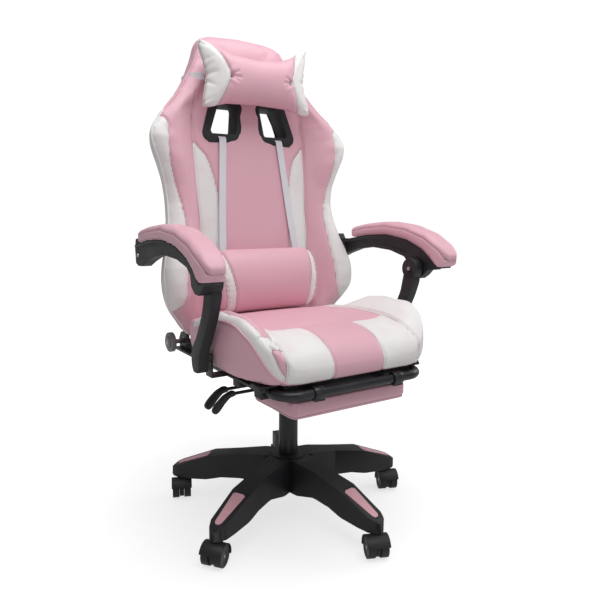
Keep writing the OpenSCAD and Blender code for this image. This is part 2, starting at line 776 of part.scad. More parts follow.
module headrest_pillow() {
    w = head_pillow_w / 2;
    back_t0 = front_t - 24;
    face_t = back_t0 + 9 - head_pillow_t + 8;
    color(pink) on_back() intersection() {
        y_slab(face_t - 4, back_t0 + 12, mirrored([[0, head_u + 18], [90, head_u + 14], [132, head_u + 2],
            [w - 10, head_u], [w - 4, head_u + 8], [w - 14, head_u + 60], [w - 16, head_u + 95],
            [w - 10, head_u + 130], [w, head_u + 162], [w - 4, head_u + 171], [w - 16, head_u + 171],
            [110, head_u + 152], [70, head_u + 140], [0, head_u + 136]]));
        x_slab(-w, w, [[back_t0 - 22, head_u], [back_t0 - 4, head_u + 10], [back_t0 + 5, head_u + 40],
            [back_t0 + 5, head_u + 105], [back_t0 - 6, head_u + 140], [back_t0 - 28, head_u + 171],
            [back_t0 - 38, head_u + 171], [face_t + 6, head_u + 140], [face_t, head_u + 105],
            [face_t + 2, head_u + 50], [face_t + 16, head_u + 14], [back_t0 - 32, head_u]]);
        translate([0, 0, 500]) linear_extrude(400) polygon([[-w, back_t0 - 28], [-130, face_t + 14],
            [-80, face_t], [80, face_t], [130, face_t + 14], [w, back_t0 - 28], [w, back_t0 - 12],
            [134, back_t0 + 2], [100, back_t0 + 5], [-100, back_t0 + 5], [-134, back_t0 + 2],
            [-w, back_t0 - 12]]);
    }
}

module headrest_strap() {
    half = 186;
    behind = rear_t - 17;
    color(white) on_back() translate([0, 0, head_u + 84]) linear_extrude(22)
        polygon(mirrored([[0, behind], [half, behind], [half, front_t - 12], [153, front_t - 31],
            [152, front_t - 29.4], [half - strap_t, front_t - 10.8], [half - strap_t, behind - strap_t],
            [0, behind - strap_t]]));
}

module lumbar_pillow() {
    w = lumbar_w / 2;
    b = front_t - pillow_gap;
    f = b - lumbar_t;
    color(pink) on_back() intersection() {
        x_slab(-w, w, [[b - 34, lumbar_u], [b - 12, lumbar_u + 8], [b, lumbar_u + 34],
            [b, lumbar_u + lumbar_h - 40], [b - 12, lumbar_u + lumbar_h - 10],
            [b - 32, lumbar_u + lumbar_h], [b - 50, lumbar_u + lumbar_h - 6],
            [f + 10, lumbar_u + lumbar_h - 38], [f, lumbar_u + lumbar_h - 72], [f, lumbar_u + 72],
            [f + 8, lumbar_u + 36], [b - 54, lumbar_u + 8]]);
        y_slab(f, b, mirrored([[0, lumbar_u], [w - 12, lumbar_u], [w - 2, lumbar_u + 20],
            [w, lumbar_u + 70], [w - 4, lumbar_u + 120], [w - 16, lumbar_u + lumbar_h - 6],
            [w - 22, lumbar_u + lumbar_h], [0, lumbar_u + lumbar_h]]));
        translate([0, 0, lumbar_u - 5]) linear_extrude(lumbar_h + 10) polygon(mirrored([[0, f],
            [w - 38, f], [w - 12, f + 14], [w, f + 36], [w, b - 20], [w - 10, b], [0, b]]));
    }
}

// Two flat elastic straps from the windows down to the lumbar pillow
module lumbar_straps() {
    color(white) on_back() both_sides() {
        y_slab(front_t - 0.3 - strap_t, front_t - 0.3, [[108, 200], [108 + strap_w, 200],
            [87 + strap_w / 2 + 1, 516], [87 - strap_w / 2, 516]]);
    }
}

module arm_pins() {
    y = arm_back[0];
    z = arm_back[1];
    color(steel) both_sides() {
        x_rod(tube_x + tube_r + 0.2, beam_x + beam_t + 3, y, z, arm_pin_d);
    }
}

// ---------------------------------------------------------------- armrests

module strut() {
    y = arm_seat[0];
    z = arm_seat[1];
    color(black) difference() {
        union() {
            x_slab(strut_x, strut_x + strut_t, [[y - 26, z - 60], [y - 2, z - 66], [y + 10, z - 48],
                [y + 22, z - 14], [y + 22, z + 14], [-84, 500], [-114, 556], [-125, 600],
                [-127, 632], [-170, 634], [-176, 606], [-170, 556], [-146, 500], [y - 28, z + 14],
                [y - 30, z - 20]]);
            x_rod(strut_x, strut_x + strut_t, arm_hub[0], arm_hub[1], 2 * hub_r_out);
        }
        // recessed inner face
        x_slab(strut_x - 1, strut_x + 7, [[-150, 500], [-98, 500], [-124, 556], [-134, 606], [-166, 606],
            [-162, 556]]);
        x_rod(strut_x - 1, strut_x + strut_t + 1, y, z, bolt_d + 2 * run);
        x_rod(strut_x + 4, strut_x + strut_t + 1, arm_hub[0], arm_hub[1], arm_pin_d + 2 * run);
    }
}

module hub_pin() {
    color(steel) {
        x_rod(strut_x + 4, beam_x + beam_t - 4, arm_hub[0], arm_hub[1], arm_pin_d);
    }
}

// Line along the pad's underside, front to rear
pad_under = [[-222, 650], [-206, 666], [-170, 692], [-110, 714], [-27, 724], [60, 718], [150, 702]];
pad_over = [[164, 704], [166, 724], [156, 733], [60, 750], [-27, 758], [-110, 751], [-180, 732],
    [-232, 704], [-254, 680], [-250, 662], [-234, 650]];

module arm_beam() {
    flange = 5;
    web_top = [for (p = pad_under) [p[0], p[1] - 0.2]];
    flange_low = [for (i = [len(pad_under) - 1 : -1 : 0]) [pad_under[i][0] + 2, pad_under[i][1] - flange]];
    color(black) difference() {
        union() {
            // web between the back pivot and the hub
            x_slab(beam_x, beam_x + beam_t, concat(web_top, [[186, 702], [196, 716], [226, 712],
                [234, 690], [230, 650], [212, 644], [180, 646], [145, 660], [95, 676], [32, 685],
                [-45, 681], [-100, 668], [-118, 654], [-122, 630], [-140, 616], [-160, 615],
                [-176, 626], [-190, 640], [-212, 642]]));
            // flange that carries the pad
            x_slab(beam_x, beam_x + arm_pad_w - 4, concat(web_top, flange_low));
        }
        // recessed web on the inner side
        x_slab(beam_x - 1, beam_x + 6, [[150, 668], [160, 690], [60, 706], [-27, 711], [-90, 704],
            [-120, 690], [-108, 678], [-45, 690], [32, 694], [95, 685]]);
        x_rod(beam_x - 1, beam_x + beam_t + 1, arm_back[0], arm_back[1], arm_pin_d + 2 * run);
        x_rod(beam_x - 1, beam_x + beam_t - 3, arm_hub[0], arm_hub[1], arm_pin_d + 2 * hub_slack);
    }
}

module arm_pad() {
    x0 = beam_x;
    x1 = beam_x + arm_pad_w;
    color(pink) difference() {
        union() {
            x_slab(x0, x1, concat(pad_under, pad_over));
            // the pad is wider ahead of the wings
            intersection() {
                x_slab(x0 - 18, x1, concat(pad_under, pad_over));
                translate([0, 0, 600]) linear_extrude(200) polygon([[x0 - 18, -220], [x0 - 18, 20],
                    [x0, 70], [x1, 70], [x1, -262], [x0 - 10, -262]]);
            }
        }
        translate([x1 - 14, -262, 600]) rotate(-38) cube([40, 60, 200]);
    }
}

module strut_l() { strut(); }
module strut_r() { mirror([1, 0, 0]) strut(); }
module hub_pin_l() { hub_pin(); }
module hub_pin_r() { mirror([1, 0, 0]) hub_pin(); }
module arm_beam_l() { arm_beam(); }
module arm_beam_r() { mirror([1, 0, 0]) arm_beam(); }
module arm_pad_l() { arm_pad(); }
module arm_pad_r() { mirror([1, 0, 0]) arm_pad(); }

// ---------------------------------------------------------------- footrest

module footrest_guides() {
    low = foot_z - foot_r - 5;
    color(black) both_sides() for (y = guide_ys) difference() {
        union() {
            translate([foot_half - foot_r - 4, y, low]) cube([2 * foot_r + 10, guide_len, rail_z - low]);
            translate([foot_half - foot_r - 4, y, rail_z - 1])
                cube([rail_x - foot_half + foot_r + 4 - seat_gap, guide_len, 7]);
        }
        translate([foot_half, y - 1, foot_z]) rotate([-90, 0, 0])
            cylinder(d = foot_tube_d + 2 * run, h = guide_len + 2);
    }
}

module footrest_tube() {
    corner_x = foot_half - foot_bend;
    corner_y = foot_front + foot_bend;
    color(black) {
        both_sides() {
            translate([foot_half, corner_y, foot_z]) rotate([-90, 0, 0])
                cylinder(d = foot_tube_d, h = foot_rear - corner_y);
            translate([corner_x, corner_y, foot_z]) rotate(-90) rotate_extrude(angle = 90)
                translate([foot_bend, 0]) circle(d = foot_tube_d);
        }
        x_rod(-corner_x, corner_x, foot_front, foot_z, foot_tube_d);
    }
}

module footrest_clamps() {
    low = foot_pad_low + foot_pad_t + board_t;
    color(black) both_sides() difference() {
        union() {
            translate([clamp_x - clamp_w / 2, foot_front, low]) cube([clamp_w, 34, 6]);
            translate([clamp_x - clamp_w / 2, foot_front - 10, low]) cube([clamp_w, 20, foot_z - low]);
            x_rod(clamp_x - clamp_w / 2, clamp_x + clamp_w / 2, foot_front, foot_z, foot_tube_d + 8);
        }
        x_rod(clamp_x - clamp_w, clamp_x + clamp_w, foot_front, foot_z, foot_tube_d + 2 * run);
    }
}

module foot_blank(w, y0, len_y, z0, h) {
    translate([0, 0, z0]) linear_extrude(h) polygon([[14 - w / 2, y0], [w / 2 - 14, y0],
        [w / 2, y0 + 14], [w / 2, y0 + len_y - 10], [w / 2 - 10, y0 + len_y],
        [10 - w / 2, y0 + len_y], [-w / 2, y0 + len_y - 10], [-w / 2, y0 + 14]]);
}

module footrest_board() {
    color(black) foot_blank(foot_pad_w - 12, foot_pad_front + 6, foot_pad_len - 12,
        foot_pad_low + foot_pad_t, board_t);
}

module footrest_pad() {
    color(pink) intersection() {
        foot_blank(foot_pad_w, foot_pad_front, foot_pad_len, foot_pad_low, foot_pad_t);
        x_slab(-foot_pad_w, foot_pad_w, [[foot_pad_front, foot_pad_low + 8],
            [foot_pad_front + 8, foot_pad_low], [foot_pad_front + foot_pad_len - 8, foot_pad_low],
            [foot_pad_front + foot_pad_len, foot_pad_low + 8],
            [foot_pad_front + foot_pad_len, foot_pad_low + foot_pad_t],
            [foot_pad_front, foot_pad_low + foot_pad_t]]);
    }
}

// ---------------------------------------------------------------- nodes

star_base();
leg_inserts();
column_tube();
column_bush();
piston_rod();
thrust_bearing();
gas_cylinder();
mech_housing();
tilt_pin();
tension_spring();
tension_knob();
height_lever();
tilt_lever();
mech_plate();
seat_frame();
seat_webbing();
seat_cushion();
recline_brackets();
recline_pins();
recliner_covers();
recline_lever();
strut_bolts();
back_frame();
back_brackets();
back_pad();
back_cover();
window_trims();
headrest_pillow();
headrest_strap();
lumbar_pillow();
lumbar_straps();
arm_pins();
strut_l();
strut_r();
hub_pin_l();
hub_pin_r();
arm_beam_l();
arm_beam_r();
arm_pad_l();
arm_pad_r();
footrest_guides();
footrest_tube();
footrest_clamps();
footrest_board();
footrest_pad();
for (k = [0 : leg_count - 1]) {
    caster_hood(k);
    caster_stem(k);
    caster_wheels(k);
}
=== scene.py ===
"""Gaming chair: upholstery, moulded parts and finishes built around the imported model.

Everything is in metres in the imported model's own axes: +Z up, -Y to the front,
+X to the sitter's left.
"""

import json
import logging
import math
from collections.abc import Sequence
from dataclasses import dataclass, field
from enum import Enum
from functools import cache

import bmesh
import bpy
import numpy as np
from mathutils import Matrix, Vector
from mathutils.bvhtree import BVHTree

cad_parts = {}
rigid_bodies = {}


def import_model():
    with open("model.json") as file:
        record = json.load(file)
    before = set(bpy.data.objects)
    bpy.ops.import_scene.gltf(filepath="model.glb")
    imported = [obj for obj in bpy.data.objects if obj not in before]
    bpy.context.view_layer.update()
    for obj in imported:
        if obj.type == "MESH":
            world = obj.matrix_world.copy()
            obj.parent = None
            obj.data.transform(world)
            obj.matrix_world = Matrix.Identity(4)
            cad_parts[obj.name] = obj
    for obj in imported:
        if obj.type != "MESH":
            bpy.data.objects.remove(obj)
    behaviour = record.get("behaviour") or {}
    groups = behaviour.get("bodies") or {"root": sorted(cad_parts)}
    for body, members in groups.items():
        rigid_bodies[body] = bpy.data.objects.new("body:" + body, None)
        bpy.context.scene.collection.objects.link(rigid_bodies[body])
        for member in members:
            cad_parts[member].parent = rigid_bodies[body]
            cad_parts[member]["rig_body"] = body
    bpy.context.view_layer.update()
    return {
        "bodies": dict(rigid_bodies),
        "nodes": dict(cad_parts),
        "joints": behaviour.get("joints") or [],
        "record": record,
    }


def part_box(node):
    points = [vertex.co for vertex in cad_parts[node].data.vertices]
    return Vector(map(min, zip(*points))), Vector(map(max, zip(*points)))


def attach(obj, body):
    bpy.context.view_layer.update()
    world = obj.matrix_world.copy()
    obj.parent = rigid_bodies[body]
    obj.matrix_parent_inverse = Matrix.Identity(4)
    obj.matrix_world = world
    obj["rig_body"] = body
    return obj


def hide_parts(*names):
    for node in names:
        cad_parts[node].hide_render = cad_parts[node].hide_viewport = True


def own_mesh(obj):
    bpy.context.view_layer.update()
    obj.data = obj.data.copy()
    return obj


log = logging.getLogger("chair")
Pair = tuple[float, float]
Socket = bpy.types.NodeSocket
Thing = bpy.types.Object
NO_SEAM = 0.5  # a gap so wide that nothing is drawn there
ROUND = 56  # flats round a large disc
WELT_RADIUS = 0.0026
STRAP_WIDTH = 0.020
SWELL_FRAMES = 20  # how long the padded pieces are blown up
ALL_SMOOTH = 3.2  # an angle that no edge reaches
PART_CREASE = 0.5  # the angle over which a hard part's edge stays sharp


class Side(Enum):
    """The sitter's two sides, with the sign of X on each."""

    LEFT = 1
    RIGHT = -1


class Plane(Enum):
    """How an outline (a, b) pushed out along c lies in the chair: the axes of a, b and c."""

    SIDE = "YZX"
    FRONT = "XZY"
    FLOOR = "XYZ"


def mm(*pairs: Pair) -> list[Pair]:
    """Gives points written in millimetres as points in metres."""
    return [(a / 1000, b / 1000) for a, b in pairs]


def mirrored(pairs: Sequence[Pair]) -> list[Pair]:
    """Gives a whole outline from its +x half, which runs from the middle outwards and back."""
    return [*pairs, *[(-a, b) for a, b in reversed(pairs) if abs(a) > 1e-6]]


def table(value: np.ndarray, rows: Sequence[Pair]) -> np.ndarray:
    """Reads a curve given as rows of (value, result) with straight runs between them."""
    grid = np.array(rows, float)
    return np.interp(value, grid[:, 0], grid[:, 1])


def flipped(pairs: Sequence[Pair]) -> list[Pair]:
    """Swaps the two numbers of each pair, and puts the pairs in rising order."""
    return sorted((b, a) for a, b in pairs)


def table_at(value: float, rows: Sequence[Pair]) -> float:
    """Reads one value from a curve, as table does for many."""
    return float(table(np.array([value]), rows)[0])


def ease(value: np.ndarray, low: float, high: float) -> np.ndarray:
    """Rises smoothly from 0 at low to 1 at high."""
    s = np.clip((value - low) / (high - low), 0, 1)
    return s * s * (3 - 2 * s)


def rounded(points: Sequence[Pair], radius: float, steps: int = 4) -> list[Pair]:
    """Rounds the corners of a closed outline.

    Args:
        points: The outline's corners, in order.
        radius: How far from a corner its rounding starts.
        steps: The number of pieces in one rounding.

    Returns:
        The outline with each corner as a short arc.
    """
    made: list[Pair] = []
    for i, corner in enumerate(points):
        here = Vector(corner)
        before, after = Vector(points[i - 1]) - here, Vector(points[(i + 1) % len(points)]) - here
        start = here + before.normalized() * min(radius, before.length * 0.45)
        end = here + after.normalized() * min(radius, after.length * 0.45)
        for k in range(steps + 1):
            s = k / steps
            made.append(tuple(start.lerp(here, s).lerp(here.lerp(end, s), s)))
    return made


def line_distance(points: np.ndarray, line: Sequence[Sequence[float]]) -> tuple[np.ndarray, np.ndarray]:
    """Measures how far points are from a line of straight runs.

    Args:
        points: One row per point.
        line: The line's corners, in as many coordinates as the points.

    Returns:
        The distance of each point, and how far along the line its nearest spot is.
    """
    best, along, run = np.full(len(points), 9.0), np.zeros(len(points)), 0.0
    for a, b in zip(line[:-1], line[1:]):
        start, way = np.array(a, float), np.array(b, float) - np.array(a, float)
        length = float(np.linalg.norm(way))
        s = np.clip(((points - start) @ way) / max(length * length, 1e-12), 0, 1)
        gap = np.linalg.norm(points - start - s[:, None] * way, axis=1)
        nearer = gap < best
        best, along = np.where(nearer, gap, best), np.where(nearer, run + s * length, along)
        run += length
    return best, along


def signed_distance(points: np.ndarray, outline: Sequence[Pair]) -> np.ndarray:
    """Measures how far points are from an outline, negative inside it."""
    gap, _ = line_distance(points, [*outline, outline[0]])
    inside = np.zeros(len(points), bool)
    x, y = points[:, 0], points[:, 1]
    for (x0, y0), (x1, y1) in zip(outline, [*outline[1:], outline[0]]):
        if abs(y1 - y0) > 1e-9:
            inside ^= ((y0 > y) != (y1 > y)) & (x < (x1 - x0) * (y - y0) / (y1 - y0) + x0)
    return np.where(inside, -gap, gap)


# ---------------------------------------------------------------- mesh work


def frame_of(plane: Plane, base: Matrix | None = None) -> Matrix:
    """Gives the matrix that takes outline coordinates (a, b, c) into the chair."""
    rows = [[0.0] * 4 for _ in range(3)] + [[0.0, 0.0, 0.0, 1.0]]
    for column, axis in enumerate(plane.value):
        rows["XYZ".index(axis)][column] = 1.0
    return (base or Matrix()) @ Matrix(rows)


def outline_slab(
    bm: bmesh.types.BMesh,
    outline: Sequence[Pair],
    low: float,
    high: float,
    place: Matrix,
    holes: Sequence[Sequence[Pair]] = (),
) -> list[bmesh.types.BMVert]:
    """Adds a closed slab: an outline pushed out from low to high.

    Args:
        bm: The mesh that gets the slab.
        outline: The outline's corners.
        low: Where the slab starts along its depth.
        high: Where it ends.
        place: The matrix from outline coordinates into the chair.
        holes: Outlines of holes right through it.

    Returns:
        The slab's vertices.
    """
    edges, verts = [], []
    for loop in (outline, *holes):
        ring = [bm.verts.new(place @ Vector((a, b, low))) for a, b in loop]
        edges += [bm.edges.new((ring[i - 1], ring[i])) for i in range(len(ring))]
        verts += ring
    if holes:
        filled = bmesh.ops.triangle_fill(bm, use_beauty=True, edges=edges)["geom"]
        faces = [g for g in filled if isinstance(g, bmesh.types.BMFace)]
    else:
        faces = bmesh.ops.contextual_create(bm, geom=edges)["faces"]
    pushed = bmesh.ops.extrude_face_region(bm, geom=faces)["geom"]
    moved = [g for g in pushed if isinstance(g, bmesh.types.BMVert)]
    bmesh.ops.translate(bm, verts=moved, vec=place.to_3x3() @ Vector((0, 0, high - low)))
    return verts + moved


def soften(bm: bmesh.types.BMesh, width: float, segments: int = 3, sharper_than: float = 0.5) -> None:
    """Turns a closed mesh outwards and bevels its sharp edges.

    Args:
        bm: The mesh.
        width: The bevel's width.
        segments: How many steps round an edge.
        sharper_than: The angle in radians from which an edge counts as sharp.
    """
    bmesh.ops.recalc_face_normals(bm, faces=bm.faces)
    sharp = [e for e in bm.edges if e.is_manifold and e.calc_face_angle(0.0) > sharper_than]
    bmesh.ops.bevel(
        bm, geom=sharp, offset=width, offset_type="OFFSET", segments=segments, profile=0.5,
        affect="EDGES", clamp_overlap=True, material=-1,
    )
    bmesh.ops.recalc_face_normals(bm, faces=bm.faces)


def rod(bm: bmesh.types.BMesh, start: Sequence[float], end: Sequence[float], radius: float,
        tip_radius: float | None = None, segments: int = 32) -> list[bmesh.types.BMVert]:
    """Adds a closed round bar, or a cone when its two radii differ.

    Args:
        bm: The mesh that gets the bar.
        start: The middle of its first end.
        end: The middle of its other end.
        radius: Its radius at the start.
        tip_radius: Its radius at the end, the same if left out.
        segments: How many flats it has round it.

    Returns:
        The bar's vertices.
    """
    a, b = Vector(start), Vector(end)
    turn = Vector((0, 0, 1)).rotation_difference(b - a).to_matrix().to_4x4()
    made = bmesh.ops.create_cone(
        bm, cap_ends=True, segments=segments, radius1=radius,
        radius2=radius if tip_radius is None else tip_radius, depth=(b - a).length,
        matrix=Matrix.Translation((a + b) / 2) @ turn,
    )
    return made["verts"]


def linked(name: str, data: bpy.types.ID) -> Thing:
    """Makes an object of its data and puts it in the scene."""
    obj = bpy.data.objects.new(name, data)
    bpy.context.scene.collection.objects.link(obj)
    return obj


def absorb(bm: bmesh.types.BMesh, other: bmesh.types.BMesh) -> None:
    """Adds another mesh to bm and uses it up."""
    mesh = bpy.data.meshes.new("absorbed")
    other.to_mesh(mesh)
    other.free()
    bm.from_mesh(mesh)
    bpy.data.meshes.remove(mesh)


def thing(name: str, bm: bmesh.types.BMesh, crease: float = 0.6) -> Thing:
    """Makes an object of a finished mesh, smooth but for its sharp edges.

    Args:
        name: The piece's name.
        bm: Its mesh, which is used up.
        crease: The angle in radians over which an edge stays sharp.

    Returns:
        The linked object.
    """
    mesh = bpy.data.meshes.new(name)
    bm.to_mesh(mesh)
    bm.free()
    mesh.shade_smooth()
    mesh.set_sharp_from_angle(angle=crease)
    return linked(name, mesh)


def bake_modifiers(obj: Thing) -> None:
    """Applies an object's modifiers to its mesh."""
    graph = bpy.context.evaluated_depsgraph_get()
    mesh = bpy.data.meshes.new_from_object(obj.evaluated_get(graph))
    obj.modifiers.clear()
    old, obj.data = obj.data, mesh
    bpy.data.meshes.remove(old)


def places(mesh: bpy.types.Mesh) -> np.ndarray:
    """Gives a mesh's vertex places, one row each."""
    flat = np.zeros(len(mesh.vertices) * 3)
    mesh.vertices.foreach_get("co", flat)
    return flat.reshape(-1, 3)


def move_to(mesh: bpy.types.Mesh, co: np.ndarray) -> None:
    """Puts a mesh's vertices at new places."""
    mesh.vertices.foreach_set("co", co.ravel())
    mesh.update()


def normals(mesh: bpy.types.Mesh) -> np.ndarray:
    """Gives a mesh's vertex normals, one row each."""
    flat = np.zeros(len(mesh.vertices) * 3)
    mesh.vertex_normals.foreach_get("vector", flat)
    return flat.reshape(-1, 3)


def note(mesh: bpy.types.Mesh, name: str, values: np.ndarray) -> None:
    """Stores one number per vertex for the materials to read."""
    mesh.attributes.new(name, "FLOAT", "POINT").data.foreach_set("value", values.astype(np.float32))


def transformed(co: np.ndarray, matrix: Matrix) -> np.ndarray:
    """Takes rows of places through a matrix."""
    m = np.array(matrix, float)
    return co @ m[:3, :3].T + m[:3, 3]


def skin_of(obj: Thing) -> BVHTree:
    """Gives a piece's surface, for laying other pieces on it."""
    return BVHTree.FromPolygons([v.co for v in obj.data.vertices], [p.vertices[:] for p in obj.data.polygons])


def laid_on(points: Sequence[Vector], skin: BVHTree, proud: float, closed: bool = False) -> list[Vector]:
    """Moves a path's points onto a surface and evens them out.

    Args:
        points: The path.
        skin: The surface.
        proud: How far over the surface the points come to lie.
        closed: Whether the path comes back to its start.

    Returns:
        The new points.
    """
    laid = []
    for p in points:
        spot, normal, _, _ = skin.find_nearest(p)
        laid.append(spot + normal * proud)
    for _ in range(2):
        laid = [
            p if not closed and i in (0, len(laid) - 1)
            else (laid[i - 1] + p * 2 + laid[(i + 1) % len(laid)]) / 4
            for i, p in enumerate(laid)
        ]
    return laid


def welt(name: str, path: Sequence[Sequence[float]], radius: float, closed: bool = False,
         skin: BVHTree | None = None, proud: float = 0.0) -> Thing:
    """Makes a round welt, cord or tube along a path.

    Args:
        name: The piece's name.
        path: The points it follows.
        radius: Its radius.
        closed: Whether the path comes back to its start.
        skin: A surface the path is laid on, if there is one.
        proud: How far over that surface its middle stands.

    Returns:
        The linked mesh object, with the distance along it in its UV map.
    """
    points = [Vector(p) for p in path]
    if skin:
        points = laid_on(points, skin, proud, closed)
    curve = bpy.data.curves.new(name, "CURVE")
    curve.dimensions, curve.bevel_depth, curve.bevel_resolution = "3D", radius, 2
    curve.use_fill_caps = not closed
    spline = curve.splines.new("POLY")
    spline.points.add(len(points) - 1)
    for target, p in zip(spline.points, points):
        target.co = (*p, 1.0)
    spline.use_cyclic_u = closed
    drawn = linked(name, curve)
    graph = bpy.context.evaluated_depsgraph_get()
    mesh = bpy.data.meshes.new_from_object(drawn.evaluated_get(graph))
    bpy.data.objects.remove(drawn)
    bpy.data.curves.remove(curve)
    mesh.shade_smooth()
    return linked(name, mesh)


def ribbon(name: str, path: Sequence[Sequence[float]], across: Sequence[float], width: float,
           thick: float) -> Thing:
    """Makes a flat strap along a path, with UV running along and across it.

    Args:
        name: The piece's name.
        path: The points its middle follows.
        across: The direction of its width.
        width: Its width.
        thick: Its thickness.

    Returns:
        The linked mesh object.
    """
    side = Vector(across).normalized() * width / 2
    bm = bmesh.new()
    sheet_uv = bm.loops.layers.uv.new("UVMap")
    run, last, rows = 0.0, None, []
    for p in (Vector(q) for q in path):
        run += (p - last).length if last is not None else 0.0
        rows.append((run, bm.verts.new(p - side), bm.verts.new(p + side)))
        last = p
    for (run_a, a0, a1), (run_b, b0, b1) in zip(rows[:-1], rows[1:]):
        face = bm.faces.new((a0, a1, b1, b0))
        for loop, uv in zip(face.loops, ((run_a, 0), (run_a, width), (run_b, width), (run_b, 0))):
            loop[sheet_uv].uv = uv
    bmesh.ops.recalc_face_normals(bm, faces=bm.faces)
    bmesh.ops.solidify(bm, geom=bm.faces[:], thickness=thick)
    bmesh.ops.recalc_face_normals(bm, faces=bm.faces)
    return thing(name, bm)


# ---------------------------------------------------------------- finishes


class Wiring:
    """Adds nodes to one node tree and joins them."""

    def __init__(self, tree: bpy.types.NodeTree) -> None:
        """Starts on a tree."""
        self.tree = tree

    def add(self, kind: str, **settings: object) -> bpy.types.Node:
        """Adds a node and sets its properties."""
        made = self.tree.nodes.new(kind)
        for key, value in settings.items():
            setattr(made, key, value)
        return made

    def feed(self, target: Socket, value: object) -> None:
        """Joins an output to a socket, or sets the socket to a plain value."""
        if isinstance(value, Socket):
            self.tree.links.new(value, target)
        else:
            target.default_value = value

    def math(self, operation: str, *values: object, clamp: bool = False) -> Socket:
        """Adds a maths node and gives its result."""
        made = self.add("ShaderNodeMath", operation=operation, use_clamp=clamp)
        for target, value in zip(made.inputs, values):
            self.feed(target, value)
        return made.outputs[0]

    def step(self, value: object, low: float, high: float, start: float = 0.0, end: float = 1.0) -> Socket:
        """Turns a value smoothly from start to end as it goes from low to high."""
        made = self.add("ShaderNodeMapRange", interpolation_type="SMOOTHSTEP", clamp=True)
        for target, given in zip(made.inputs, (value, low, high, start, end)):
            self.feed(target, given)
        return made.outputs[0]

    def mix(self, share: object, a: object, b: object, how: str = "MIX") -> Socket:
        """Mixes two colours and gives the result."""
        made = self.add("ShaderNodeMix", data_type="RGBA", blend_type=how)
        for target, given in zip((made.inputs[0], made.inputs[6], made.inputs[7]), (share, a, b)):
            self.feed(target, given)
        return made.outputs[2]

    def noise(self, place: Socket, scale: object, detail: float = 3.0) -> Socket:
        """Adds a noise pattern and gives its strength."""
        made = self.add("ShaderNodeTexNoise")
        made.inputs["Detail"].default_value = detail
        self.feed(made.inputs["Vector"], place)
        self.feed(made.inputs["Scale"], scale)
        return made.outputs["Fac"]

    def read(self, attribute: str) -> Socket:
        """Gives a number stored on the mesh."""
        return self.add("ShaderNodeAttribute", attribute_name=attribute).outputs["Fac"]

    def bump(self, height: Socket, depth: float, strength: float, under: Socket | None = None) -> Socket:
        """Adds a bump node and gives its normal."""
        made = self.add("ShaderNodeBump")
        made.inputs["Strength"].default_value = strength
        made.inputs["Distance"].default_value = depth
        self.feed(made.inputs["Height"], height)
        if under:
            self.feed(made.inputs["Normal"], under)
        return made.outputs["Normal"]

    def group(self, tree: bpy.types.NodeTree, **values: object) -> dict[str, Socket]:
        """Places a node group with its own values and gives its outputs by name."""
        made = self.add("ShaderNodeGroup", node_tree=tree)
        for key, value in values.items():
            self.feed(made.inputs[key.replace("_", " ")], value)
        return {s.name: s for s in made.outputs}


Sockets = dict[str, Socket]


def new_group(
    name: str, inputs: Sequence[tuple[str, str]], outputs: Sequence[str]
) -> tuple[Wiring, Sockets, Sockets]:
    """Starts a shader node group.

    Args:
        name: The group's name.
        inputs: The name and socket type of each input.
        outputs: The name of each output, all plain numbers.

    Returns:
        The group's wiring, its inputs and its outputs, by name.
    """
    tree = bpy.data.node_groups.new(name, "ShaderNodeTree")
    for label, kind in inputs:
        tree.interface.new_socket(label, in_out="INPUT", socket_type=kind)
    for label in outputs:
        tree.interface.new_socket(label, in_out="OUTPUT", socket_type="NodeSocketFloat")
    w = Wiring(tree)
    given = {s.name: s for s in w.add("NodeGroupInput").outputs if s.name}
    wanted = {s.name: s for s in w.add("NodeGroupOutput").inputs if s.name}
    return w, given, wanted


FLOAT, VECTOR = "NodeSocketFloat", "NodeSocketVector"


@cache
def grain_group() -> bpy.types.NodeTree:
    """Makes the pebble grain that both leathers and the moulded parts share."""
    w, given, out = new_group("pebble_grain", [("Place", VECTOR), ("Scale", FLOAT)], ["Height", "Shade"])
    cells = w.add("ShaderNodeTexVoronoi", feature="SMOOTH_F1")
    w.feed(cells.inputs["Vector"], given["Place"])
    w.feed(cells.inputs["Scale"], given["Scale"])
    fine = w.noise(given["Place"], w.math("MULTIPLY", given["Scale"], 0.45), 4.0)
    w.feed(out["Height"], w.math("MULTIPLY_ADD", cells.outputs["Distance"], 0.7, fine))
    w.feed(out["Shade"], w.noise(given["Place"], w.math("MULTIPLY", given["Scale"], 0.011), 3.0))
    return w.tree


@cache
def seam_group() -> bpy.types.NodeTree:
    """Makes sewn seams from the distance to a seam and the distance along it, with a mask for painted shade along each
    seam's groove.
    """
    w, given, out = new_group(
        "sewn_seam", [("Gap", FLOAT), ("Along", FLOAT), ("Pitch", FLOAT), ("Row", FLOAT)],
        ["Groove", "Swell", "Stitch"],
    )
    w.feed(out["Groove"], w.step(given["Gap"], 0.0002, 0.0017, 1.0, 0.0))
    w.feed(out["Swell"], w.step(given["Gap"], 0.0, 0.008))
    off_row = w.math("ABSOLUTE", w.math("SUBTRACT", given["Gap"], given["Row"]))
    count = w.math("FRACT", w.math("DIVIDE", given["Along"], given["Pitch"]))
    dash = w.math("ABSOLUTE", w.math("SUBTRACT", count, 0.5))
    on_row = w.step(off_row, 0.0003, 0.0008, 1.0, 0.0)
    w.feed(out["Stitch"], w.math("MULTIPLY", on_row, w.step(dash, 0.28, 0.36, 1.0, 0.0)))
    return w.tree


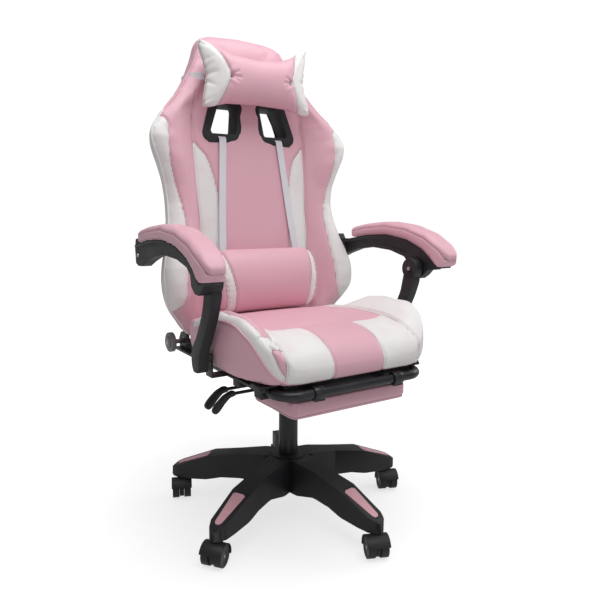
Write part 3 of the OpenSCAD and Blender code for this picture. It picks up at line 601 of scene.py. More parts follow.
@cache
def wear_group() -> bpy.types.NodeTree:
    """Makes light scuffs and dust for every hard finish."""
    w, given, out = new_group("scuff_and_dust", [("Place", VECTOR), ("Scale", FLOAT)], ["Scuff", "Dust"])
    scuff = w.noise(given["Place"], w.math("MULTIPLY", given["Scale"], 6.0), 6.0)
    w.feed(out["Scuff"], w.step(scuff, 0.58, 0.72))
    w.feed(out["Dust"], w.step(w.noise(given["Place"], given["Scale"], 3.0), 0.35, 0.7))
    return w.tree


@cache
def weave_group() -> bpy.types.NodeTree:
    """Makes a ribbed woven band from its own UV map."""
    w, given, out = new_group(
        "woven_band", [("Place", VECTOR), ("Rib", FLOAT), ("Yarn", FLOAT)], ["Height", "Shade"]
    )
    split = w.add("ShaderNodeSeparateXYZ")
    w.feed(split.inputs[0], given["Place"])
    rib = w.math("SINE", w.math("DIVIDE", w.math("MULTIPLY", split.outputs["X"], math.tau), given["Rib"]))
    yarn = w.math("SINE", w.math("DIVIDE", w.math("MULTIPLY", split.outputs["Y"], math.tau), given["Yarn"]))
    both = w.math("MULTIPLY_ADD", w.math("MULTIPLY", rib, yarn), 0.5, w.math("MULTIPLY", yarn, 0.35))
    w.feed(out["Height"], both)
    w.feed(out["Shade"], w.math("MULTIPLY_ADD", both, 0.5, 0.5, clamp=True))
    return w.tree


def start_material(name: str) -> tuple[bpy.types.Material, Wiring, bpy.types.Node, Socket]:
    """Starts a material with a Principled shader.

    Args:
        name: The material's name.

    Returns:
        The material, its wiring, the shader and the object coordinates.
    """
    made = bpy.data.materials.new(name)
    made.use_nodes = True
    w = Wiring(made.node_tree)
    shader = made.node_tree.nodes["Principled BSDF"]
    return made, w, shader, w.add("ShaderNodeTexCoord").outputs["Object"]


Colour = tuple[float, float, float, float]


@dataclass(frozen=True)
class Leather:
    """Satin synthetic leather, with white panels where the mesh stores them and painted shade darkening its seam
    grooves.
    """

    name: str
    colour: Colour
    panel: Colour = (0.87, 0.865, 0.85, 1)
    # The colour of the painted shade in the seam grooves.
    groove: Colour = (0.16, 0.075, 0.09, 1)
    thread: Colour = (0.62, 0.45, 0.48, 1)
    grain: float = 1500.0
    pitch: float = 0.0046

    def material(self) -> bpy.types.Material:
        """Builds the material."""
        made, w, shader, place = start_material(self.name)
        pebble = w.group(grain_group(), Place=place, Scale=self.grain)
        sewn = w.group(seam_group(), Gap=w.read("seam_gap"), Along=w.read("seam_run"),
                       Pitch=self.pitch, Row=0.0042)
        body = w.mix(w.step(w.read("white_zone"), -0.0005, 0.0005, 1.0, 0.0), self.colour, self.panel)
        dull = tuple(c * 0.9 for c in self.colour[:3]) + (1.0,)
        body = w.mix(w.step(pebble["Shade"], 0.35, 0.75, 0.0, 0.16), body, dull)
        # Painted shade: the seam grooves are darkened towards a dark pink.
        body = w.mix(w.math("MULTIPLY", sewn["Groove"], 0.72), body, self.groove)
        body = w.mix(w.math("MULTIPLY", sewn["Stitch"], 0.45), body, self.thread)
        w.feed(shader.inputs["Base Color"], body)
        w.feed(shader.inputs["Roughness"], w.math("MULTIPLY_ADD", pebble["Shade"], 0.16, 0.34))
        fine = w.bump(pebble["Height"], 0.00025, 0.28)
        height = w.math("MULTIPLY_ADD", sewn["Stitch"], 0.3, sewn["Swell"])
        w.feed(shader.inputs["Normal"], w.bump(height, 0.0014, 0.8, fine))
        shader.inputs["Specular IOR Level"].default_value = 0.42
        shader.inputs["Coat Weight"].default_value = 0.06
        shader.inputs["Coat Roughness"].default_value = 0.3
        return made


@dataclass(frozen=True)
class Moulded:
    """Textured moulded plastic, or powder coat where it is smoother."""

    name: str
    colour: Colour
    worn: Colour
    roughness: float = 0.42
    texture: float = 2200.0
    depth: float = 0.00012
    metallic: float = 0.0

    def material(self) -> bpy.types.Material:
        """Builds the material."""
        made, w, shader, place = start_material(self.name)
        pebble = w.group(grain_group(), Place=place, Scale=self.texture)
        wear = w.group(wear_group(), Place=place, Scale=11.0)
        body = w.mix(w.math("MULTIPLY", wear["Scuff"], 0.22), self.colour, self.worn)
        body = w.mix(w.math("MULTIPLY", wear["Dust"], 0.12), body, self.worn)
        w.feed(shader.inputs["Base Color"], body)
        rough = w.math("MULTIPLY_ADD", wear["Dust"], 0.12, self.roughness)
        w.feed(shader.inputs["Roughness"], w.math("MULTIPLY_ADD", wear["Scuff"], 0.1, rough))
        shader.inputs["Metallic"].default_value = self.metallic
        w.feed(shader.inputs["Normal"], w.bump(pebble["Height"], self.depth, 0.5))
        return made


@dataclass(frozen=True)
class Plated:
    """Zinc-plated steel with a fine turned or drawn line."""

    name: str
    colour: Colour
    roughness: float = 0.28

    def material(self) -> bpy.types.Material:
        """Builds the material."""
        made, w, shader, place = start_material(self.name)
        stretch = w.add("ShaderNodeMapping")
        w.feed(stretch.inputs["Vector"], place)
        stretch.inputs["Scale"].default_value = (1.0, 1.0, 14.0)
        lines = w.noise(stretch.outputs[0], 160.0, 4.0)
        wear = w.group(wear_group(), Place=place, Scale=30.0)
        dull = tuple(c * 0.6 for c in self.colour[:3]) + (1.0,)
        dust = w.math("MULTIPLY", wear["Dust"], 0.4)
        w.feed(shader.inputs["Base Color"], w.mix(dust, self.colour, dull))
        w.feed(shader.inputs["Roughness"], w.math("MULTIPLY_ADD", lines, 0.25, self.roughness))
        w.feed(shader.inputs["Normal"], w.bump(lines, 0.00005, 0.5))
        shader.inputs["Metallic"].default_value = 1.0
        return made


@dataclass(frozen=True)
class Woven:
    """Elastic or plain webbing, woven along its own UV map."""

    name: str
    colour: Colour
    shade: Colour
    rib: float = 0.0022
    yarn: float = 0.0016
    on_surface: bool = True

    def material(self) -> bpy.types.Material:
        """Builds the material."""
        made, w, shader, place = start_material(self.name)
        if self.on_surface:
            place = w.add("ShaderNodeTexCoord").outputs["UV"]
        weave = w.group(weave_group(), Place=place, Rib=self.rib, Yarn=self.yarn)
        shade = w.math("MULTIPLY", weave["Shade"], 0.5)
        w.feed(shader.inputs["Base Color"], w.mix(shade, self.colour, self.shade))
        w.feed(shader.inputs["Roughness"], w.math("MULTIPLY_ADD", weave["Shade"], -0.1, 0.85))
        w.feed(shader.inputs["Normal"], w.bump(weave["Height"], 0.0003, 0.6))
        shader.inputs["Sheen Weight"].default_value = 0.25
        return made


class Finish(Enum):
    """Every finish on the chair, under the record's own slot names where it has one."""

    PINK_LEATHER = Leather("satin_pink_leather", (0.79, 0.455, 0.535, 1))
    WHITE_LEATHER = Leather("satin_white_leather", (0.87, 0.865, 0.85, 1))
    PINK_PLASTIC = Moulded("satin_pink_plastic", (0.80, 0.44, 0.50, 1), (0.86, 0.62, 0.66, 1), 0.36)
    BLACK_PLASTIC = Moulded("textured_black_plastic", (0.0125, 0.0132, 0.0158, 1), (0.04, 0.041, 0.045, 1), 0.46)
    SMOOTH_BLACK = Moulded("smooth_black_plastic", (0.011, 0.0115, 0.0135, 1), (0.05, 0.05, 0.055, 1), 0.3,
                           depth=0.00004)
    BLACK_PAINTED_STEEL = Moulded("black_powder_coat", (0.013, 0.0138, 0.017, 1), (0.06, 0.062, 0.068, 1), 0.27, 900.0,
                                  0.00006)
    BRIGHT_STEEL = Plated("zinc_plate", (0.56, 0.57, 0.60, 1))
    # Painted highlight: grey stands for the light on the black plastic recline covers.
    GREY_PLASTIC = Moulded("satin_grey_plastic", (0.21, 0.205, 0.20, 1), (0.33, 0.325, 0.32, 1), 0.34)
    WHITE_ELASTIC = Woven("white_elastic_weave", (0.80, 0.80, 0.845, 1), (0.62, 0.62, 0.67, 1))
    BLACK_WEBBING = Woven("black_webbing_weave", (0.02, 0.02, 0.021, 1), (0.045, 0.045, 0.047, 1), 0.006, 0.004, False)
    BLACK_LINING = Woven("black_lining_weave", (0.016, 0.016, 0.017, 1), (0.032, 0.032, 0.034, 1), 0.0018, 0.0018,
                         False)

    @cache
    def get(self) -> bpy.types.Material:
        """Gives the material, built the first time it is asked for."""
        return self.value.material()


@dataclass
class Piece:
    """One finished piece and what it stands for."""

    obj: Thing
    body: str
    finish: Finish
    slot: str
    stands_for: Sequence[str] = ()
    fill: float | None = None

    def place(self) -> Thing:
        """Gives the piece its finish and its body, and hides the CAD nodes it stands for."""
        self.obj.data.materials.clear()
        self.obj.data.materials.append(self.finish.get())
        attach(self.obj, self.body)
        if self.stands_for:
            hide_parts(*self.stands_for)
        log.info("%s on %s: %d faces", self.obj.name, self.body, len(self.obj.data.polygons))
        return self.obj


# ---------------------------------------------------------------- padded pieces


@dataclass(frozen=True)
class Crease:
    """A pucker or fold: a short line on the face that dips, deepest at its start."""

    line: Sequence[Pair]
    depth: float = 0.003
    width: float = 0.004

    def dip(self, points: np.ndarray) -> np.ndarray:
        """Gives how deep each face point lies in the fold."""
        gap, run = line_distance(points, self.line)
        length = max(float(sum(math.dist(a, b) for a, b in zip(self.line[:-1], self.line[1:]))), 1e-6)
        fade = np.clip(1.0 - run / length, 0, 1) ** 0.7
        return self.depth * fade * np.exp(-((gap / self.width) ** 2))


@dataclass
class Stitching:
    """Where the seams, white panels and folds lie on a piece's vertices."""

    white: np.ndarray
    gap: np.ndarray
    run: np.ndarray
    dip: np.ndarray


@dataclass
class Padded:
    """A stuffed piece: a blank that is remeshed, shaped, blown up a little, then sewn."""

    name: str
    body: str
    stands_for: Sequence[str]
    slot: str = "pink_leather"
    finish: Finish = Finish.PINK_LEATHER
    voxel: float = 0.006
    pressure: float = 4.0
    cap: float = 0.005
    fill: float = 0.75
    relax: int = 3
    seam_depth: float = 0.0022
    seam_width: float = 0.0045

    def blank(self, bm: bmesh.types.BMesh) -> None:
        """Adds the plain closed shape the piece starts from."""
        raise NotImplementedError

    def shaped(self, co: np.ndarray) -> np.ndarray:
        """Gives the vertex places after the shaping."""
        return co

    def held(self, co: np.ndarray) -> np.ndarray:
        """Tells which vertices the sewing or the frame holds still."""
        return np.zeros(len(co), bool)

    def sewn(self, co: np.ndarray, out: np.ndarray) -> Stitching:
        """Gives the seams, panels and folds for vertices at co that face out."""
        plain = np.full(len(co), NO_SEAM)
        return Stitching(plain, plain.copy(), plain * 0, plain * 0)

    def blow_up(self, obj: Thing) -> None:
        """Fills the piece with soft pressure, and limits how far each point moves."""
        start = places(obj.data)
        hold = obj.vertex_groups.new(name="held")
        hold.add([int(i) for i in np.flatnonzero(self.held(start))], 1.0, "REPLACE")
        cloth = obj.modifiers.new("Cloth", "CLOTH")
        rules = cloth.settings
        rules.vertex_group_mass = "held"
        rules.use_pressure, rules.uniform_pressure_force = True, self.pressure
        rules.effector_weights.gravity = 0.0
        rules.quality, rules.mass = 4, 0.25
        scene = bpy.context.scene
        for frame in range(1, SWELL_FRAMES + 1):
            scene.frame_set(frame)
        graph = bpy.context.evaluated_depsgraph_get()
        swollen = obj.evaluated_get(graph)
        moved = places(swollen.data) - start
        obj.modifiers.clear()
        obj.vertex_groups.clear()
        far = np.linalg.norm(moved, axis=1)
        moved *= (self.cap * np.tanh(far / self.cap) / np.maximum(far, 1e-9))[:, None]
        move_to(obj.data, start + moved)
        scene.frame_set(1)

    def make(self) -> Thing:
        """Builds the piece and puts it on its body."""
        bm = bmesh.new()
        self.blank(bm)
        bmesh.ops.recalc_face_normals(bm, faces=bm.faces)
        obj = thing(self.name, bm, ALL_SMOOTH)
        remesh = obj.modifiers.new("Remesh", "REMESH")
        remesh.mode, remesh.voxel_size = "VOXEL", self.voxel
        bake_modifiers(obj)
        bm = bmesh.new()
        bm.from_mesh(obj.data)
        for _ in range(self.relax):
            bmesh.ops.smooth_vert(bm, verts=bm.verts, factor=0.5, use_axis_x=True, use_axis_y=True,
                                  use_axis_z=True)
        bm.to_mesh(obj.data)
        bm.free()
        move_to(obj.data, self.shaped(places(obj.data)))
        self.blow_up(obj)
        finer = obj.modifiers.new("Finer", "SUBSURF")
        finer.levels = finer.render_levels = 1
        bake_modifiers(obj)
        co, out = places(obj.data), normals(obj.data)
        sewing = self.sewn(co, out)
        sink = self.seam_depth * np.exp(-((sewing.gap / self.seam_width) ** 2)) + sewing.dip
        move_to(obj.data, co - out * sink[:, None])
        note(obj.data, "white_zone", sewing.white)
        note(obj.data, "seam_gap", sewing.gap)
        note(obj.data, "seam_run", sewing.run)
        obj.data.shade_smooth()
        return Piece(obj, self.body, self.finish, self.slot, self.stands_for, self.fill).place()


def nearest_seam(points: np.ndarray, lines: Sequence[Sequence[Pair]]) -> tuple[np.ndarray, np.ndarray]:
    """Gives the distance to the nearest of several seams, and the run along it."""
    gap, run = np.full(len(points), NO_SEAM), np.zeros(len(points))
    for line in lines:
        near, along = line_distance(points, line)
        run = np.where(near < gap, along, run)
        gap = np.minimum(near, gap)
    return gap, run


def creases(*rows: tuple[Pair, Pair, float, float]) -> list[Crease]:
    """Gives folds from rows of (start, end, depth, width), the two ends in millimetres."""
    return [Crease(mm(start, end), depth, width) for start, end, depth, width in rows]


@dataclass
class PieceOfBack(Padded):
    """A padded piece that is shaped in the back's own axes: across, behind, up the slope."""

    base: Matrix = field(default_factory=Matrix)

    def local(self, co: np.ndarray) -> np.ndarray:
        """Gives places in the back's own axes."""
        return transformed(co, self.base.inverted())

    def facing(self, out: np.ndarray) -> np.ndarray:
        """Tells how far each outward direction looks to the rear."""
        return transformed(out, self.base.to_3x3().inverted().to_4x4())[:, 1]

    def face_on(self, p: np.ndarray, low: float = 0.0) -> np.ndarray:
        """Gives local places seen from the front, both halves on the +x side, above low."""
        return np.column_stack([np.abs(p[:, 0]), p[:, 2] - low])


BACK_OUTLINE = mm(
    (0, 6), (194, 8), (220, 18), (236, 36), (248, 57), (266, 76), (282, 98), (291, 120), (295, 146),
    (294, 174), (287, 204), (272, 250), (260, 305), (256, 360), (262, 412), (280, 462), (294, 495),
    (298, 515), (294, 535), (276, 562), (256, 585), (212, 632), (172, 688), (144, 732), (134, 760),
    (130, 780), (118, 800), (92, 811), (0, 814),
)
WINDOW = mm((46, 542), (114, 542), (117, 550), (92, 615), (86, 621), (36, 621), (34, 613), (43, 548))


@dataclass
class BackUpholstery(PieceOfBack):
    """The back's winged front, its sides and its rear as one padded piece."""

    face: float = -0.067
    rear: float = 0.044
    thin: float = -0.022
    hole_gap: float = 0.006
    band_low: float = 0.43
    band_top: float = 0.588
    wing: Sequence[Pair] = ((0, 0), (0.014, 0), (0.07, 0.016), (0.115, 0.046), (0.15, 0.052), (0.19, 0.05),
                            (0.26, 0.034), (0.32, 0.022), (0.36, 0.018), (0.40, 0.022), (0.47, 0.045),
                            (0.515, 0.052), (0.575, 0.042), (0.62, 0.032), (0.68, 0.02), (0.73, 0.008),
                            (0.774, 0.0), (0.814, -0.004))
    rear_line: Sequence[Pair] = ((0, 0.022), (0.03, 0.038), (0.07, 0.044), (0.48, 0.044), (0.64, 0.028),
                                 (0.76, 0.014), (0.79, 0.008), (0.814, -0.002))
    wing_seam: Sequence[Pair] = tuple(mm((148, 6), (157, 60), (161, 200), (165, 300), (167, 420), (168, 517),
                                         (166, 575), (160, 640)))
    wedge: Sequence[Pair] = tuple(mm((168, 519), (154, 502), (138, 484), (128, 462), (118, 424), (109, 378), (106, 327),
                                     (104, 269), (100, 180), (160, 180), (165, 300), (167, 420)))
    stripe: Sequence[Pair] = tuple(mm((340, 600), (286, 583), (268, 571), (256, 560), (250, 546), (254, 494),
                                      (249, 450),
                                      (234, 400), (221, 356), (214, 315), (215, 290), (226, 180), (231, 121),
                                      (241, 96), (256, 84), (340, 84)))

    def half_width(self, up: np.ndarray) -> np.ndarray:
        """Gives the back's half width at a height along its slope."""
        return table(up, flipped(BACK_OUTLINE[1:]))

    def depth(self, x: np.ndarray, up: np.ndarray) -> np.ndarray:
        """Gives how far the face stands forward of its middle."""
        hw = self.half_width(up)
        inner = np.minimum(0.166, hw - 0.075)
        edge = np.clip(hw - x, 0, 1)
        rise = table(up, self.wing) * ease(x, inner - 0.004, np.maximum(hw - 0.036, inner + 0.03))
        roll = 0.013 * np.clip(1 - edge / 0.034, 0, 1) ** 2.2
        crown = 0.006 * np.clip(1 - (x / 0.15) ** 2, 0, 1) * ease(up, 0.02, 0.2)
        top = 0.026 * np.clip((up - 0.764) / 0.05, 0, 1) ** 2
        return rise + crown - roll - top - 0.008 * (1 - ease(up, 0.0, 0.03))

    def behind(self, x: np.ndarray, up: np.ndarray) -> np.ndarray:
        """Gives the rear surface, which is dished round the windows."""
        dish = (1 - ease(x, 0.122, 0.14)) * ease(up, 0.512, 0.53) * (1 - ease(up, 0.642, 0.662))
        rear = table(up, self.rear_line)
        return rear + (self.thin - rear) * dish

    def blank(self, bm: bmesh.types.BMesh) -> None:
        """Adds a flat board with the two window holes."""
        hole = [
            (x + math.copysign(self.hole_gap, x - 0.07), u + math.copysign(self.hole_gap, u - 0.58))
            for x, u in WINDOW
        ]
        holes = [hole, [(-x, u) for x, u in hole]]
        outlined = rounded(mirrored(BACK_OUTLINE), 0.02, 3)
        outline_slab(bm, outlined, self.face, self.rear, frame_of(Plane.FRONT, self.base), holes)

    def shaped(self, co: np.ndarray) -> np.ndarray:
        """Brings the wings forward and rounds the rear."""
        p = self.local(co)
        x, up = np.abs(p[:, 0]), p[:, 2]
        share = np.clip((p[:, 1] - self.face) / (self.rear - self.face), 0, 1)
        front = self.face - self.depth(x, up)
        edge = np.clip(self.half_width(up) - x, 0, 1)
        back = self.behind(x, up) - 0.022 * np.clip(1 - edge / 0.07, 0, 1) ** 2
        p[:, 1] = front + (back - front) * share
        beyond = np.maximum(x - 0.145, 0)
        p[:, 0] -= np.sign(p[:, 0]) * beyond * 0.34 * share**1.3
        return transformed(p, self.base)

    def share(self, p: np.ndarray) -> np.ndarray:
        """Gives how far back between face and rear each local place is."""
        x, up = np.abs(p[:, 0]), p[:, 2]
        front = self.face - self.depth(np.minimum(x, self.half_width(up)), up)
        return (p[:, 1] - front) / np.maximum(self.behind(x, up) - front, 0.01)

    def seams(self) -> list[Sequence[Pair]]:
        """Gives the seams of the face, on its +x half."""
        return [self.wing_seam, self.wedge[:9], self.stripe[1:15]]

    def held(self, co: np.ndarray) -> np.ndarray:
        """Holds the seams, the window edges, the sides and the rear."""
        p = self.local(co)
        flat = self.face_on(p)
        gap, _ = nearest_seam(flat, [self.wing_seam])
        return (self.share(p) > 0.3) | (gap < 0.006) | (signed_distance(flat, WINDOW) < 0.022)

    def sewn(self, co: np.ndarray, out: np.ndarray) -> Stitching:
        """Gives the face's panels, the side bands and the rear seams."""
        p = self.local(co)
        flat = self.face_on(p)
        facing = self.facing(out)
        face, rear = facing < 0.2, facing > 0.6
        white = np.minimum(signed_distance(flat, self.wedge), signed_distance(flat, self.stripe))
        band = np.maximum.reduce([
            self.band_low - flat[:, 1], flat[:, 1] - self.band_top, 0.17 - flat[:, 0],
        ])
        gap, run = nearest_seam(flat, self.seams())
        rear_gap, rear_run = nearest_seam(flat, [
            mm((168, 30), (176, 300), (190, 500), (150, 640), (96, 770)),
            mm((0, 470), (186, 470)),
        ])
        plain = np.full(len(co), NO_SEAM)
        folds = creases(
            ((222, 356), (232, 352), 0.0016, 0.003), ((219, 340), (231, 337), 0.0018, 0.003),
            ((217, 326), (229, 322), 0.0016, 0.003), ((168, 519), (171, 470), 0.0012, 0.006),
            ((110, 350), (120, 344), 0.001, 0.004), ((252, 470), (262, 466), 0.0014, 0.004),
            ((253, 452), (263, 449), 0.0014, 0.004),
        )
        dip = sum(c.dip(flat) for c in folds) * face
        return Stitching(
            np.where(face, white, np.where(rear, NO_SEAM, band)),
            np.where(face, gap, np.where(rear, rear_gap, plain)),
            np.where(face, run, rear_run), dip,
        )

    def edge_path(self, low: float, high: float, side: Side) -> list[Vector]:
        """Gives the front edge's path for a welt.

        Args:
            low: Where it starts, up the slope.
            high: Where it ends.
            side: Which side it runs on.

        Returns:
            Points from low to high.
        """
        path = []
        for up in np.linspace(low, high, max(int((high - low) / 0.009), 2)):
            hw = float(self.half_width(np.array([up]))[0])
            t = self.face - float(self.depth(np.array([hw - 0.003]), np.array([up]))[0])
            path.append(self.base @ Vector((side.value * (hw - 0.001), t + 0.002, up)))
        return path


@dataclass
class SeatCushion(Padded):
    """The seat: a flat middle between side bolsters, rolled down at the front."""

    low: float = 0.4288
    middle: Sequence[Pair] = ((-0.296, 0.470), (-0.292, 0.480), (-0.283, 0.491), (-0.265, 0.505), (-0.24, 0.514),
                              (-0.21, 0.5185), (-0.178, 0.5205), (0.05, 0.522), (0.1, 0.517), (0.122, 0.508))
    peak: Sequence[Pair] = ((-0.296, 0.474), (-0.29, 0.500), (-0.262, 0.524), (-0.232, 0.548), (-0.19, 0.566),
                            (-0.10, 0.568), (-0.04, 0.560), (0.02, 0.535), (0.05, 0.518), (0.122, 0.508))
    ramp: Sequence[Pair] = ((0, 0), (0.06, 0), (0.127, 0.05), (0.155, 0.12), (0.169, 0.2), (0.191, 0.52),
                            (0.212, 0.84), (0.228, 0.98), (0.238, 1.0), (0.247, 0.9), (0.257, 0.62))
    plan: Sequence[Pair] = ((0, -0.296), (0.158, -0.296), (0.185, -0.29), (0.214, -0.272), (0.237, -0.238),
                            (0.254, -0.188), (0.257, -0.126), (0.257, 0.02), (0.249, 0.04), (0.232, 0.046),
                            (0.230, 0.112), (0.220, 0.122), (0, 0.122))
    bolster: Sequence[Pair] = ((0.171, 0.118), (0.171, -0.158), (0.170, -0.21), (0.172, -0.25), (0.178, -0.278),
                               (0.186, -0.34))
    panel_side: Sequence[Pair] = ((0.172, -0.160), (0.192, -0.206), (0.197, -0.235), (0.192, -0.258), (0.187, -0.278),
                                  (0.184, -0.34))
    band_inner: Sequence[Pair] = ((0.236, 0.13), (0.234, -0.10), (0.231, -0.19), (0.222, -0.219), (0.218, -0.247),
                                  (0.213, -0.268), (0.204, -0.278), (0.194, -0.285), (0.188, -0.292))
    ridge_z: Sequence[Pair] = ((-0.29, 0.436), (-0.283, 0.459), (-0.276, 0.490), (-0.268, 0.512), (-0.247, 0.536))
    welt_z: Sequence[Pair] = ((-0.29, 0.430), (-0.28, 0.440), (-0.269, 0.460), (-0.254, 0.487), (-0.233, 0.521),
                              (-0.19, 0.549), (-0.16, 0.554), (-0.122, 0.553), (-0.092, 0.546), (-0.06, 0.538),
                              (-0.02, 0.522), (0.02, 0.508), (0.05, 0.498), (0.13, 0.492))

    def surface(self, x: np.ndarray, y: np.ndarray) -> np.ndarray:
        """Gives the height of the top at (x, y)."""
        flat, crest = table(y, self.middle), table(y, self.peak)
        x = np.abs(x)
        swell = 0.004 * np.clip(1 - (x / 0.15) ** 2, 0, 1)
        return flat + swell * ease(y, -0.29, -0.2) + table(x, self.ramp) * np.maximum(crest - flat, 0)

    def blank(self, bm: bmesh.types.BMesh) -> None:
        """Adds a slab of the plan outline."""
        outline_slab(bm, rounded(mirrored(self.plan), 0.02, 3), 0.43, 0.53, frame_of(Plane.FLOOR))

    def shaped(self, co: np.ndarray) -> np.ndarray:
        """Raises the bolsters, rolls the front and tucks the sides in underneath."""
        share = np.clip((co[:, 2] - 0.43) / 0.1, 0, 1)
        top = self.surface(co[:, 0], co[:, 1])
        out = co.copy()
        out[:, 2] = self.low + (top - self.low) * share
        tuck = table(share, [(0, 0.055), (0.12, 0.03), (0.35, 0.01), (0.7, 0.0), (0.93, 0.004), (1, 0.012)])
        out[:, 0] *= 1 - tuck
        ahead = np.clip(-co[:, 1] / 0.296, 0, 1) ** 4
        out[:, 1] += ahead * table(share, [(0, 0.012), (0.15, 0.005), (0.5, 0.0), (0.85, 0.0), (1, 0.004)])
        return out

    def held(self, co: np.ndarray) -> np.ndarray:
        """Holds the seams, the underside and the outer edge."""
        flat = np.column_stack([np.abs(co[:, 0]), co[:, 1]])
        gap, _ = nearest_seam(flat, [self.bolster])
        cross = (np.abs(co[:, 1] + 0.16) < 0.004) & (np.abs(co[:, 0]) < 0.172)
        return (co[:, 2] < 0.445) | (gap < 0.004) | cross | (co[:, 1] > 0.11)

    def sewn(self, co: np.ndarray, out: np.ndarray) -> Stitching:
        """Gives the white panels and bands and every seam."""
        x, y, z = np.abs(co[:, 0]), co[:, 1], co[:, 2]
        flat = np.column_stack([x, y])
        left = co[:, 0] > 0
        rim = table(y, [(-0.3, 0.178), (-0.285, 0.195), (-0.27, 0.206), (-0.25, 0.22), (-0.235, 0.23),
                        (0.13, 0.236)])
        over_welt = np.where(x > rim, z - table(y, self.welt_z), 0.2)
        centre = [(0.073, -0.16), (0.071, -0.24), (0.068, -0.34)]
        panel = [*centre, *reversed(self.panel_side)]
        ridge = table(y, flipped(self.band_inner)) - x
        over_ridge = (z - table(y, self.ridge_z)) * 0.6
        corner = y < -0.243
        ridge = np.where(corner, np.maximum(over_ridge, 0.186 - x), ridge)
        right_white = np.minimum(signed_distance(flat, panel), np.maximum(ridge, table(y, self.welt_z) - z))
        left_white = np.minimum(
            signed_distance(flat, [*centre, (0.4, -0.34), (0.4, -0.16)]),
            table(y, flipped(self.bolster)) - x,
        )
        left_white = np.maximum(left_white, -over_welt)
        white = np.where(left, left_white, right_white)
        white = np.where(z < 0.434, NO_SEAM, white)
        rear_seam = [(0.0, -0.16), (0.172, -0.16)]
        right_gap, right_run = nearest_seam(flat, [rear_seam, centre, self.panel_side, self.bolster[:2]])
        ridge_gap, ridge_run = line_distance(flat, self.band_inner[:5])
        ridge_gap = np.where(corner, np.where(x > 0.186, np.abs(over_ridge), NO_SEAM), ridge_gap)
        right_run = np.where(ridge_gap < right_gap, np.where(corner, z, ridge_run), right_run)
        right_gap = np.minimum(right_gap, ridge_gap)
        left_gap, left_run = nearest_seam(flat, [rear_seam, centre, self.bolster])
        steep = np.abs(out[:, 0]) > 0.8
        gap = np.where(left, left_gap, right_gap)
        gap = np.where(steep & (over_welt < 0), NO_SEAM, gap)
        run = np.where(left, left_run, right_run)
        dip = np.zeros(len(co))
        for height in (0.446, 0.452, 0.459, 0.466, 0.474, 0.482, 0.490, 0.498):
            spot = np.column_stack([x, z])
            near, along = line_distance(spot, [(0.187, height), (0.176, height + 0.002)])
            pucker = 0.0013 * np.exp(-((near / 0.0028) ** 2)) * np.clip(1 - along / 0.011, 0, 1)
            dip = dip + np.where((y < -0.27) & ~left, pucker, 0)
        return Stitching(white, gap, run, dip)

    def welt_path(self, side: Side) -> list[Vector]:
        """Gives the path of the welt between top and side panel."""
        path = []
        for y in np.linspace(-0.291, 0.035, 46):
            z = table_at(y, self.welt_z)
            hw = table_at(y, flipped(self.plan[1:9]))
            path.append(Vector((side.value * hw, y, z)))
        return path


